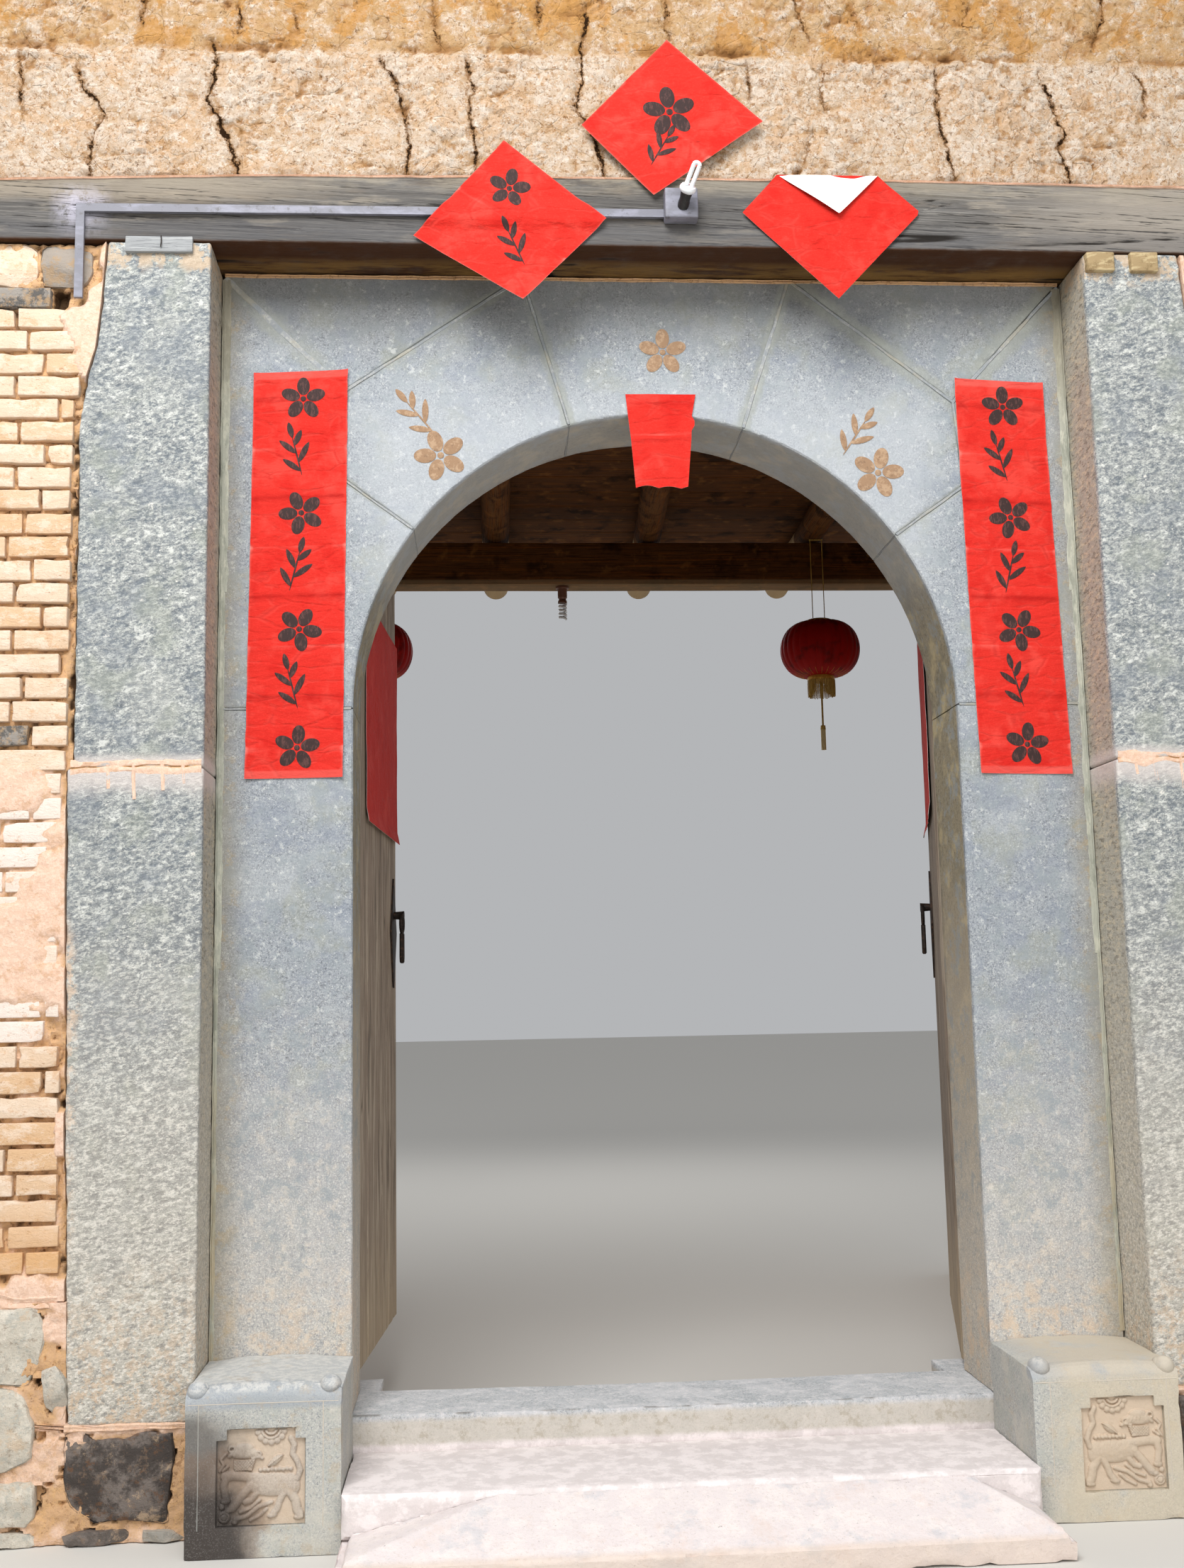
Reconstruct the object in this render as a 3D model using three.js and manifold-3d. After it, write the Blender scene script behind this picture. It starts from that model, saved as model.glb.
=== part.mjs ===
// The gateway bay of a round earthen dwelling: a granite arch with two timber leaves, set in
// the rammed-earth ring wall, and the passage hall behind it under the first gallery floor.
//
// Millimetres. X runs along the wall, Y through it towards the courtyard, Z up. The origin is on
// the ground, in the middle of the opening, in the plane of the pilasters' faces.

import * as THREE from 'three';
import { mergeVertices } from 'three/addons/utils/BufferGeometryUtils.js';
import Module from 'manifold-3d';

const wasm = await Module();
wasm.setup();

// Gap left between pieces that bear on each other.
const GAP = 0.3;

// The bay as a whole.
const HALF_BAY = 1950;
const WALL_THICKNESS = 1300;
const WALL_TOP = 4500;
const WALL_FACE = 10;

// The stone opening.
const SILL = 250;
const ARCH_RADIUS = 900;
const SPRING = SILL + 1980;
const PANEL_FACE = 204;
const STONE_BACK = 488;
const LOWER_JOINT_RIGHT = 35.4;
const KEY_JOINT_RIGHT = 72.0;
const KEY_JOINT_LEFT = 106.2;
const LOWER_JOINT_LEFT = 143.2;
const JOINT_ANGLE = 0.08;
const STONE_ARRIS = 5;

// The pilasters that frame the recessed panel, and the timber that spans them.
const PILASTER_INNER = 1292;
const PILASTER_DEPTH = 300;
const PILASTER_FOOT = 295;
const PILASTER_JOINT = 2030;
const BEAM_BOTTOM = 3568;
const BEAM_DEPTH = 300;
const PANEL_EDGE = PILASTER_INNER - GAP;

// Pedestals, threshold and steps.
const PEDESTAL_INNER = 897;
const PEDESTAL_FRONT = -150;
const PEDESTAL_TOPS = { left: 420, right: 400 };
const PEDESTAL_ROUNDING = 42;
const KNOB_RADIUS = 26;
const RELIEF = { width: 222, height: 234, bottom: 76, depth: 12, notch: 26 };
const RELIEF_CENTRES = { left: -1100, right: 1135 };
const STEP_HALF = PEDESTAL_INNER - GAP;
const STEP_UPPER = { front: -200, bottom: 45, top: 155 };
const STEP_LOWER_FRONT = -430;
const RAMP_FOOT = 52;
const RAMP_HEAD = 152;

// The reveal behind the stone, wide enough for the leaves to fold back.
const REVEAL_FRONT = 1060;
const REVEAL_BACK = 1275;
const PLINTH_TOP = 610;
const PLINTH_FACE = -15;

// The leaves and what they turn in.
const HINGE_X = 960;
const HINGE_Y = 560;
const LEAF_REACH = 956;
const LEAF_THICKNESS = 90;
const LEAF_BOTTOM = 280;
const LEAF_TOP = 3190;
const POST_RADIUS = 46;
const POST_BOTTOM = 262;
const PIN_RADIUS = 22;
const PIN_HOLE_RADIUS = 24.5;
const SOCKET_BOTTOM = 220;
const HEAD_BOTTOM = 3200;
const HEAD_TOP = 3449.7;
const HEAD_HALF = 1200;
const HEAD_BACK = 660;
const HEAD_HOLE_DEPTH = 80;
const LEAF_OPEN = { left: 86, right: 104.5 };
const PLANKS = 4;

// Timbers over the reveal and the floor of the first gallery.
const REVEAL_LINTEL = { half: 1500, bottom: 3450, top: 3650, count: 4 };
const JOIST_FLAT = 75;
const JOIST_SIDES = 16;
const JOIST_RADIUS = JOIST_FLAT / Math.cos(Math.PI / JOIST_SIDES);
const JOIST_BOTTOM = 3690;
const JOIST_AXIS = JOIST_BOTTOM + JOIST_FLAT;
const JOIST_START = 1050;
const JOIST_END = 4600;
const JOIST_PLACES = [[-1045, -1080], [-465, -440], [229, 391], [1145, 1205]];
const DECK_BOTTOM = JOIST_BOTTOM + 2 * JOIST_FLAT + GAP;
const DECK_THICKNESS = 28;
const DECK_END = 4650;
const CROSS_BEAM = { front: 3425, back: 3575, bottom: 3465, top: JOIST_BOTTOM - GAP };
const PARTY_WALL = { thickness: 200, end: 3600 };

// Lanterns and lamps.
const LANTERN_Y = 3380;
const LANTERN_TOP = 3265;
const LANTERN_RADIUS = 201;
const LANTERN_CORD_SPREAD = 30;
const LAMP_BOX = { left: 27, right: 125, bottom: 3640, top: 3733, depth: 46 };

const finish = (color, roughness, metalness = 0) =>
  new THREE.MeshStandardMaterial({ color, roughness, metalness });
const GRANITE = finish('#98a3a7', 0.85);
const PICKED_GRANITE = finish('#8f9a9c', 0.92);
const STEP_STONE = finish('#c9bdb2', 0.9);
const RAMMED_EARTH = finish('#d9b987', 0.95);
const SUN_BRICK = finish('#e6c894', 0.93);
const RUBBLE = finish('#8d8577', 0.9);
const OLD_TIMBER = finish('#7d7569', 0.8);
const INNER_TIMBER = finish('#6a4a2c', 0.75);
const LEAF_TIMBER = finish('#a48c72', 0.8);
const WROUGHT_IRON = finish('#3b3430', 0.6, 0.8);
const LANTERN_CLOTH = finish('#a5120f', 0.7);
const LAMP_PLASTIC = finish('#74787a', 0.6);

const gateway = new THREE.Group();

function addPiece(name, geometry, material, parent = gateway) {
  const mesh = new THREE.Mesh(geometry, material);
  mesh.name = name;
  parent.add(mesh);
  return mesh;
}

// Solids: joins and cuts.

function toSolid(geometry) {
  const bare = geometry.clone();
  bare.deleteAttribute('normal');
  bare.deleteAttribute('uv');
  const merged = mergeVertices(bare, 1e-3);
  return new wasm.Manifold(new wasm.Mesh({
    numProp: 3,
    vertProperties: new Float32Array(merged.attributes.position.array),
    triVerts: new Uint32Array(merged.index.array),
  }));
}

function toGeometry(solid) {
  const mesh = solid.getMesh();
  const geometry = new THREE.BufferGeometry();
  geometry.setAttribute('position', new THREE.BufferAttribute(mesh.vertProperties, 3));
  geometry.setIndex(new THREE.BufferAttribute(mesh.triVerts, 1));
  geometry.computeVertexNormals();
  return geometry;
}

const join = (first, ...others) =>
  toGeometry(others.reduce((solid, next) => solid.add(toSolid(next)), toSolid(first)));
const cut = (body, ...tools) =>
  toGeometry(tools.reduce((solid, next) => solid.subtract(toSolid(next)), toSolid(body)));

// Basic forms.

function box(x0, x1, y0, y1, z0, z1) {
  const [left, right] = [Math.min(x0, x1), Math.max(x0, x1)];
  const geometry = new THREE.BoxGeometry(right - left, y1 - y0, z1 - z0);
  return geometry.translate((left + right) / 2, (y0 + y1) / 2, (z0 + z1) / 2);
}

const outline = (points) => new THREE.Shape(points.map(([x, y]) => new THREE.Vector2(x, y)));

// An outline seen from the front, x across and z up, running back from front to back.
function facePrism(points, front, back, arris = 0) {
  const geometry = new THREE.ExtrudeGeometry(outline(points), {
    depth: back - front - 2 * arris,
    bevelEnabled: arris > 0,
    bevelThickness: arris,
    bevelSize: arris,
    bevelOffset: -arris,
    bevelSegments: 1,
  });
  return geometry.rotateX(Math.PI / 2).translate(0, back - arris, 0);
}

// An outline seen from above, raised from bottom to top.
function planPrism(points, bottom, top) {
  const geometry = new THREE.ExtrudeGeometry(outline(points), {
    depth: top - bottom,
    bevelEnabled: false,
  });
  return geometry.translate(0, 0, bottom);
}

// An outline in the y-z plane, running along x.
function sidePrism(points, x0, x1) {
  const geometry = new THREE.ExtrudeGeometry(outline(points), {
    depth: x1 - x0,
    bevelEnabled: false,
  });
  const turn = new THREE.Matrix4().makeBasis(
    new THREE.Vector3(0, 1, 0),
    new THREE.Vector3(0, 0, 1),
    new THREE.Vector3(1, 0, 0),
  );
  return geometry.applyMatrix4(turn).translate(x0, 0, 0);
}

function uprightCylinder(radius, x, y, z0, z1, sides = 20) {
  const geometry = new THREE.CylinderGeometry(radius, radius, z1 - z0, sides);
  return geometry.rotateX(Math.PI / 2).translate(x, y, (z0 + z1) / 2);
}

// A round bar between two points.
function rod(from, to, radius, sides = 12) {
  const [start, end] = [new THREE.Vector3(...from), new THREE.Vector3(...to)];
  const along = end.clone().sub(start);
  const geometry = new THREE.CylinderGeometry(radius, radius, along.length(), sides);
  const turn = new THREE.Quaternion().setFromUnitVectors(
    new THREE.Vector3(0, 1, 0), along.clone().normalize());
  const middle = start.add(end).multiplyScalar(0.5);
  return geometry.applyQuaternion(turn).translate(middle.x, middle.y, middle.z);
}

const radians = THREE.MathUtils.degToRad;
const sides = [['left', -1], ['right', 1]];

// A point on a ray from the arch's centre.
function onRay(degrees, radius) {
  const angle = radians(degrees);
  return [radius * Math.cos(angle), SPRING + radius * Math.sin(angle)];
}

function intrados(fromDegrees, toDegrees, steps) {
  const points = [];
  for (let i = 0; i <= steps; i += 1) {
    points.push(onRay(fromDegrees + ((toDegrees - fromDegrees) * i) / steps, ARCH_RADIUS));
  }
  return points;
}

const rayAtX = (degrees, x) => [x, SPRING + x * Math.tan(radians(degrees))];
const rayAtZ = (degrees, z) => [(z - SPRING) / Math.tan(radians(degrees)), z];
const PANEL_TOP = BEAM_BOTTOM - GAP;

// Where the three upper joints of a corner meet, and where the springer's upright joint starts.
const CORNER_APEX = { left: [-928, SILL + 2948], right: [934, SILL + 2927] };
const UPRIGHT_JOINT = 960;

function addArchStones() {
  const lower = { left: LOWER_JOINT_LEFT, right: LOWER_JOINT_RIGHT };
  const key = { left: KEY_JOINT_LEFT, right: KEY_JOINT_RIGHT };
  for (const [side, sign] of sides) {
    const spring = sign > 0 ? 0 : 180;
    const below = lower[side] - sign * JOINT_ANGLE;
    const above = lower[side] + sign * JOINT_ANGLE;
    const beforeKey = key[side] - sign * JOINT_ANGLE;
    const [apexX, apexZ] = CORNER_APEX[side];
    const stone = (points) => facePrism(points, PANEL_FACE, STONE_BACK, STONE_ARRIS);
    const gap = sign * 1.2;

    addPiece(`jamb_${side}`, stone([
      [sign * ARCH_RADIUS, SILL + GAP],
      [sign * PANEL_EDGE, SILL + GAP],
      [sign * PANEL_EDGE, SPRING - 1],
      [sign * ARCH_RADIUS, SPRING - 1],
    ]), GRANITE);

    addPiece(`springer_${side}`, stone([
      [sign * PANEL_EDGE, SPRING + 1],
      ...intrados(spring + sign * 0.06, below, 10),
      rayAtX(below, sign * UPRIGHT_JOINT),
      [apexX + gap, apexZ],
      [sign * PANEL_EDGE, PANEL_TOP - 12],
    ]), GRANITE);

    addPiece(`haunch_${side}`, stone([
      ...intrados(above, beforeKey, 10),
      rayAtZ(beforeKey, PANEL_TOP - 2),
      [apexX - gap, apexZ - 1.5],
      rayAtX(above, sign * UPRIGHT_JOINT - 2 * gap),
    ]), GRANITE);

    addPiece(`corner_stone_${side}`, stone([
      [rayAtZ(beforeKey, PANEL_TOP)[0] + 5 * gap, PANEL_TOP],
      [apexX, apexZ + 2.5],
      [sign * PANEL_EDGE - 3 * gap, PANEL_TOP],
    ]), GRANITE);
  }
  addPiece('keystone', facePrism([
    ...intrados(KEY_JOINT_RIGHT + JOINT_ANGLE, KEY_JOINT_LEFT - JOINT_ANGLE, 10),
    rayAtZ(KEY_JOINT_LEFT - JOINT_ANGLE, PANEL_TOP),
    rayAtZ(KEY_JOINT_RIGHT + JOINT_ANGLE, PANEL_TOP),
  ], PANEL_FACE, STONE_BACK, STONE_ARRIS), GRANITE);
}

// The outer edge of a pilaster, from its foot to its head: the block is roughly squared.
const LOWER_EDGE = [[1625, PILASTER_FOOT], [1647, 1025], [1668, PILASTER_JOINT - 1]];
const UPPER_EDGE = [[1652, PILASTER_JOINT + 1], [1658, 3000], [1592, BEAM_BOTTOM - GAP]];

function addPilasters() {
  for (const [side, sign] of sides) {
    for (const [length, edge] of [['lower', LOWER_EDGE], ['upper', UPPER_EDGE]]) {
      const bottom = edge[0][1];
      const top = edge[edge.length - 1][1];
      addPiece(`pilaster_${side}_${length}`, facePrism([
        [sign * PILASTER_INNER, bottom],
        ...edge.map(([x, z]) => [sign * x, z]),
        [sign * PILASTER_INNER, top],
      ], 0, PILASTER_DEPTH, 8), PICKED_GRANITE);
    }
  }
}

function addPedestals() {
  const back = PANEL_FACE - GAP;
  for (const [side, sign] of sides) {
    const top = PEDESTAL_TOPS[side];
    const profile = [[back, 0], [back, top]];
    const steps = 5;
    for (let i = 0; i <= steps; i += 1) {
      const angle = (Math.PI / 2) * (1 + i / steps);
      profile.push([
        PEDESTAL_FRONT + PEDESTAL_ROUNDING * (1 + Math.cos(angle)),
        top - PEDESTAL_ROUNDING * (1 - Math.sin(angle)),
      ]);
    }
    profile.push([PEDESTAL_FRONT, 0]);
    const [x0, x1] = [sign * PEDESTAL_INNER, sign * PANEL_EDGE].sort((a, b) => a - b);
    const knobs = [x0 + 34, x1 - 34].map((x) =>
      new THREE.SphereGeometry(KNOB_RADIUS, 14, 10)
        .translate(x, PEDESTAL_FRONT + 34, top - 14));

    const { width, height, bottom, depth, notch } = RELIEF;
    const half = width / 2;
    const centre = RELIEF_CENTRES[side];
    const panel = facePrism([
      [centre - half, bottom],
      [centre + half, bottom],
      [centre + half, bottom + height - notch],
      [centre + half - notch, bottom + height - notch],
      [centre + half - notch, bottom + height],
      [centre - half + notch, bottom + height],
      [centre - half + notch, bottom + height - notch],
      [centre - half, bottom + height - notch],
    ], PEDESTAL_FRONT - 20, PEDESTAL_FRONT + depth);
    const block = join(sidePrism(profile, x0, x1), ...knobs);
    addPiece(`pedestal_${side}`, cut(block, panel), GRANITE);
  }
}

// The threshold carries the jambs, and its two ears behind them hold the leaves' lower pins.
function addThreshold() {
  const earInner = 840;
  const earOuter = REVEAL_FRONT - 10;
  const earBack = HINGE_Y + 80;
  const plan = [
    [-PANEL_EDGE, PANEL_FACE], [PANEL_EDGE, PANEL_FACE], [PANEL_EDGE, STONE_BACK],
    [earOuter, STONE_BACK], [earOuter, earBack], [earInner, earBack], [earInner, STONE_BACK],
    [-earInner, STONE_BACK], [-earInner, earBack], [-earOuter, earBack],
    [-earOuter, STONE_BACK], [-PANEL_EDGE, STONE_BACK],
  ];
  const holes = sides.map(([, sign]) =>
    uprightCylinder(PIN_HOLE_RADIUS, sign * HINGE_X, HINGE_Y, SOCKET_BOTTOM, SILL + 10));
  addPiece('threshold', cut(planPrism(plan, 0, SILL), ...holes), GRANITE);
}

// Two worn steps, the lower one with a cement ramp worn into its middle.
function addSteps() {
  const back = PANEL_FACE - GAP;
  const { front, bottom, top } = STEP_UPPER;
  const upperFace = [
    [-STEP_HALF, bottom + GAP], [STEP_HALF, bottom + GAP], [STEP_HALF, top], [-STEP_HALF, top],
  ];
  addPiece('step_upper', facePrism(upperFace, front, back, 12), STEP_STONE);

  const slab = box(-STEP_HALF, STEP_HALF, STEP_LOWER_FRONT, back, 0, bottom);
  const rampFace = [
    [-885, bottom - 5], [885, bottom - 5], [875, 70], [690, RAMP_HEAD], [-480, RAMP_HEAD],
    [-870, 66],
  ];
  const ramp = facePrism(rampFace, STEP_LOWER_FRONT, front - GAP);
  const above = sidePrism([
    [STEP_LOWER_FRONT - 10, RAMP_FOOT], [front + 10, RAMP_HEAD], [front + 10, 400],
    [STEP_LOWER_FRONT - 10, 400],
  ], -HALF_BAY, HALF_BAY);
  addPiece('step_lower', join(slab, cut(ramp, above)), STEP_STONE);
}

// The ring wall in plan behind the stone: it steps in at the pilasters and splays open inside.
function wallPlan(sign, front, inner) {
  return [
    [sign * HALF_BAY, front],
    [sign * (PILASTER_INNER + GAP), front],
    [sign * (PILASTER_INNER + GAP), inner],
    [sign * REVEAL_FRONT, inner],
    [sign * REVEAL_BACK, WALL_THICKNESS],
    [sign * HALF_BAY, WALL_THICKNESS],
  ];
}

function lintelPocket() {
  const { half, bottom, top } = REVEAL_LINTEL;
  return box(-half - GAP, half + GAP, STONE_BACK - 5, WALL_THICKNESS + 5, bottom - GAP, top + GAP);
}

function addRingWall() {
  const inner = STONE_BACK + GAP;
  const [[footX, footZ], [aboveX, aboveZ]] = LOWER_EDGE;
  const edgeAtPlinth = footX + ((aboveX - footX) * (PLINTH_TOP - footZ)) / (aboveZ - footZ);
  for (const [side, sign] of sides) {
    const front = facePrism([
      [sign * HALF_BAY, 0],
      [sign * (PILASTER_INNER + GAP), 0],
      [sign * (PILASTER_INNER + GAP), PILASTER_FOOT - GAP],
      [sign * (LOWER_EDGE[0][0] + 2 * GAP), PILASTER_FOOT - GAP],
      [sign * (edgeAtPlinth + 2 * GAP), PLINTH_TOP],
      [sign * HALF_BAY, PLINTH_TOP],
    ], PLINTH_FACE, PILASTER_DEPTH + GAP);
    const core = planPrism(wallPlan(sign, PILASTER_DEPTH, inner), 0, PLINTH_TOP);
    addPiece(`plinth_${side}`, join(front, core), RUBBLE);

    const edge = [...LOWER_EDGE.slice(1), ...UPPER_EDGE];
    addPiece(`brick_infill_${side}`, facePrism([
      [sign * HALF_BAY, PLINTH_TOP + GAP],
      [sign * (edgeAtPlinth + 2 * GAP), PLINTH_TOP + GAP],
      ...edge.map(([x, z]) => [sign * (x + 2 * GAP), z]),
      [sign * HALF_BAY, BEAM_BOTTOM - GAP],
    ], WALL_FACE, PILASTER_DEPTH), SUN_BRICK);

    const headPocket = box(0, sign * (HEAD_HALF + GAP), STONE_BACK - 5, HEAD_BACK + GAP,
      HEAD_BOTTOM - GAP, REVEAL_LINTEL.bottom);
    const core2 = planPrism(
      wallPlan(sign, PILASTER_DEPTH + GAP, inner), PLINTH_TOP + GAP, BEAM_BOTTOM - GAP);
    addPiece(`earth_wall_${side}`, cut(core2, headPocket, lintelPocket()), RAMMED_EARTH);
  }
}

// The top of the front beam isn't quite level: [x, z] along it.
const BEAM_CROWN = [
  [HALF_BAY, 3782], [1620, 3784], [726, 3790], [-183, 3785], [-1142, 3778], [-HALF_BAY, 3752],
];

function addLintelBeam() {
  addPiece('lintel_beam', facePrism([
    [-HALF_BAY, BEAM_BOTTOM], [HALF_BAY, BEAM_BOTTOM], ...BEAM_CROWN,
  ], 0, BEAM_DEPTH, 4), OLD_TIMBER);
}

function joistSolid(index, extra) {
  const [atWall, atEnd] = JOIST_PLACES[index];
  const radius = JOIST_RADIUS + extra;
  const length = JOIST_END - JOIST_START + 2 * extra;
  const geometry = new THREE.CylinderGeometry(radius, radius, length, JOIST_SIDES);
  geometry.rotateY(Math.PI / JOIST_SIDES);
  geometry.rotateZ(-Math.atan((atEnd - atWall) / (JOIST_END - WALL_THICKNESS)));
  const middle = (JOIST_START + JOIST_END) / 2;
  const slope = (atEnd - atWall) / (JOIST_END - WALL_THICKNESS);
  const x = atWall + slope * (middle - WALL_THICKNESS);
  return geometry.translate(x, middle, JOIST_AXIS);
}

function addWallOver() {
  const behindBeam = box(-HALF_BAY, HALF_BAY, BEAM_DEPTH + GAP, WALL_THICKNESS,
    BEAM_BOTTOM + GAP, WALL_TOP);
  const face = facePrism([
    [-HALF_BAY, WALL_TOP], [HALF_BAY, WALL_TOP],
    ...BEAM_CROWN.map(([x, z]) => [x, z + GAP]),
  ], WALL_FACE, BEAM_DEPTH + 50);
  const pockets = JOIST_PLACES.map((_, index) => joistSolid(index, GAP));
  const notStone = box(-PANEL_EDGE, PANEL_EDGE, 0, STONE_BACK, 0, BEAM_BOTTOM + GAP);
  addPiece('earth_wall_over',
    cut(join(behindBeam, face), lintelPocket(), notStone, ...pockets), RAMMED_EARTH);
}

// Squared timbers laid side by side over the reveal: one solid, grooved where they meet.
function addRevealLintels() {
  const { half, bottom, top, count } = REVEAL_LINTEL;
  const front = STONE_BACK + GAP;
  const width = (WALL_THICKNESS - front) / count;
  const grooves = [];
  for (let i = 1; i < count; i += 1) {
    const y = front + i * width;
    grooves.push(sidePrism([[y - 9, bottom - 1], [y + 9, bottom - 1], [y, bottom + 25]],
      -half - 1, half + 1));
  }
  addPiece('reveal_lintels',
    cut(box(-half, half, front, WALL_THICKNESS, bottom, top), ...grooves), INNER_TIMBER);
}

function addDoorHead() {
  const holes = sides.map(([, sign]) => uprightCylinder(
    PIN_HOLE_RADIUS, sign * HINGE_X, HINGE_Y, HEAD_BOTTOM - 10, HEAD_BOTTOM + HEAD_HOLE_DEPTH));
  const beam = box(-HEAD_HALF, HEAD_HALF, STONE_BACK + GAP, HEAD_BACK, HEAD_BOTTOM, HEAD_TOP);
  addPiece('door_head', cut(beam, ...holes), INNER_TIMBER);
}

// A leaf is drawn closed, reaching from its hinge axis at the local origin.
function leafGeometry(sign) {
  const half = LEAF_THICKNESS / 2;
  const inward = -sign;
  const slab = box(0, inward * LEAF_REACH, -half, half, LEAF_BOTTOM, LEAF_TOP);
  const post = uprightCylinder(POST_RADIUS, 0, 0, POST_BOTTOM, LEAF_TOP);
  const lowerPin = uprightCylinder(PIN_RADIUS, 0, 0, SOCKET_BOTTOM + 0.4, POST_BOTTOM + 5);
  const upperPin = uprightCylinder(PIN_RADIUS, 0, 0, LEAF_TOP - 5,
    HEAD_BOTTOM + HEAD_HOLE_DEPTH - 12);
  const battens = [620, 1700, 2780].map((z) =>
    box(inward * 60, inward * 905, half - 2, half + 38, z, z + 110));
  const grooves = [];
  for (let i = 1; i < PLANKS; i += 1) {
    const x = (inward * LEAF_REACH * i) / PLANKS;
    grooves.push(planPrism([[x - 4, -half - 1], [x + 4, -half - 1], [x, -half + 5]],
      LEAF_BOTTOM - 1, LEAF_TOP + 1));
  }
  return cut(join(slab, post, lowerPin, upperPin, ...battens), ...grooves);
}

// Lozenge plate with a staple, a ring and the hasp that hangs from it.
const PULL = { reach: 845, z: 1627, halfHeight: 197, halfWidth: 72, stapleZ: 1690 };

function pullGeometry(sign) {
  const face = -LEAF_THICKNESS / 2 - GAP;
  const x = -sign * PULL.reach;
  const { z, halfHeight, halfWidth, stapleZ } = PULL;
  const plate = facePrism([
    [x, z - halfHeight], [x + halfWidth, z], [x, z + halfHeight], [x - halfWidth, z],
  ], face - 6, face);
  const staple = new THREE.CylinderGeometry(13, 16, 40, 12).translate(x, face - 22, stapleZ);
  const ring = new THREE.TorusGeometry(34, 6.5, 8, 20)
    .rotateX(Math.PI / 2)
    .translate(x, face - 34, stapleZ - 28);
  const hasp = facePrism([
    [x - 14, stapleZ - 62], [x + 14, stapleZ - 62], [x + 17, stapleZ - 150],
    [x + 8, stapleZ - 172], [x - 8, stapleZ - 172], [x - 17, stapleZ - 150],
  ], face - 42, face - 26, 4);
  return join(plate, staple, ring, hasp);
}

function addDoor() {
  for (const [side, sign] of sides) {
    const leaf = new THREE.Group();
    leaf.position.set(sign * HINGE_X, HINGE_Y, 0);
    leaf.rotation.z = -sign * radians(LEAF_OPEN[side]);
    gateway.add(leaf);
    addPiece(`door_leaf_${side}`, leafGeometry(sign), LEAF_TIMBER, leaf);
    addPiece(`door_pull_${side}`, pullGeometry(sign), WROUGHT_IRON, leaf);
  }
}

function addHall() {
  JOIST_PLACES.forEach((_, index) => {
    addPiece(`joist_${index + 1}`, joistSolid(index, 0), INNER_TIMBER);
  });
  const { front, back, bottom, top } = CROSS_BEAM;
  addPiece('cross_beam', box(-HALF_BAY, HALF_BAY, front, back, bottom, top), INNER_TIMBER);
  addPiece('deck_boards', box(-HALF_BAY, HALF_BAY, WALL_THICKNESS + GAP, DECK_END,
    DECK_BOTTOM, DECK_BOTTOM + DECK_THICKNESS), INNER_TIMBER);
  const beamPocket = box(-HALF_BAY - 5, HALF_BAY + 5, front - GAP, back + GAP,
    bottom - GAP, top + 2 * GAP);
  for (const [side, sign] of sides) {
    const wall = box(sign * HALF_BAY, sign * (HALF_BAY - PARTY_WALL.thickness),
      WALL_THICKNESS + GAP, PARTY_WALL.end, 0, DECK_BOTTOM - GAP);
    addPiece(`party_wall_${side}`, cut(wall, beamPocket), RAMMED_EARTH);
  }
}

// A ribbed cloth lantern with its caps, fringe and tassel, on two cords from a joist.
function lanternGeometry() {
  const body = [[0, LANTERN_TOP]];
  const halfHeight = 140;
  const middle = LANTERN_TOP - 12 - halfHeight;
  body.push([62, LANTERN_TOP], [62, LANTERN_TOP - 12]);
  const steps = 10;
  for (let i = 1; i < steps; i += 1) {
    const angle = Math.PI * (0.5 - i / steps);
    body.push([
      62 + (LANTERN_RADIUS - 62) * Math.cos(angle) ** 0.8,
      middle + halfHeight * Math.sin(angle),
    ]);
  }
  const foot = middle - halfHeight;
  body.push([62, foot], [74, foot - 14], [70, foot - 104], [10, foot - 104]);
  body.push([10, foot - 250], [16, foot - 262], [12, foot - 378], [0, foot - 378]);
  const profile = body.reverse().map(([r, z]) => new THREE.Vector2(r, z));
  const lantern = new THREE.LatheGeometry(profile, 24).rotateX(Math.PI / 2);
  const hook = box(-LANTERN_CORD_SPREAD - 5, LANTERN_CORD_SPREAD + 5, -5, 5,
    JOIST_BOTTOM - 8, JOIST_BOTTOM - GAP);
  const cords = [-1, 1].map((sign) => uprightCylinder(
    3, sign * LANTERN_CORD_SPREAD, 0, LANTERN_TOP - 4, JOIST_BOTTOM - 4, 8));
  return join(lantern, hook, ...cords);
}

function joistX(index, y) {
  const [atWall, atEnd] = JOIST_PLACES[index];
  return atWall + ((atEnd - atWall) * (y - WALL_THICKNESS)) / (JOIST_END - WALL_THICKNESS);
}

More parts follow.
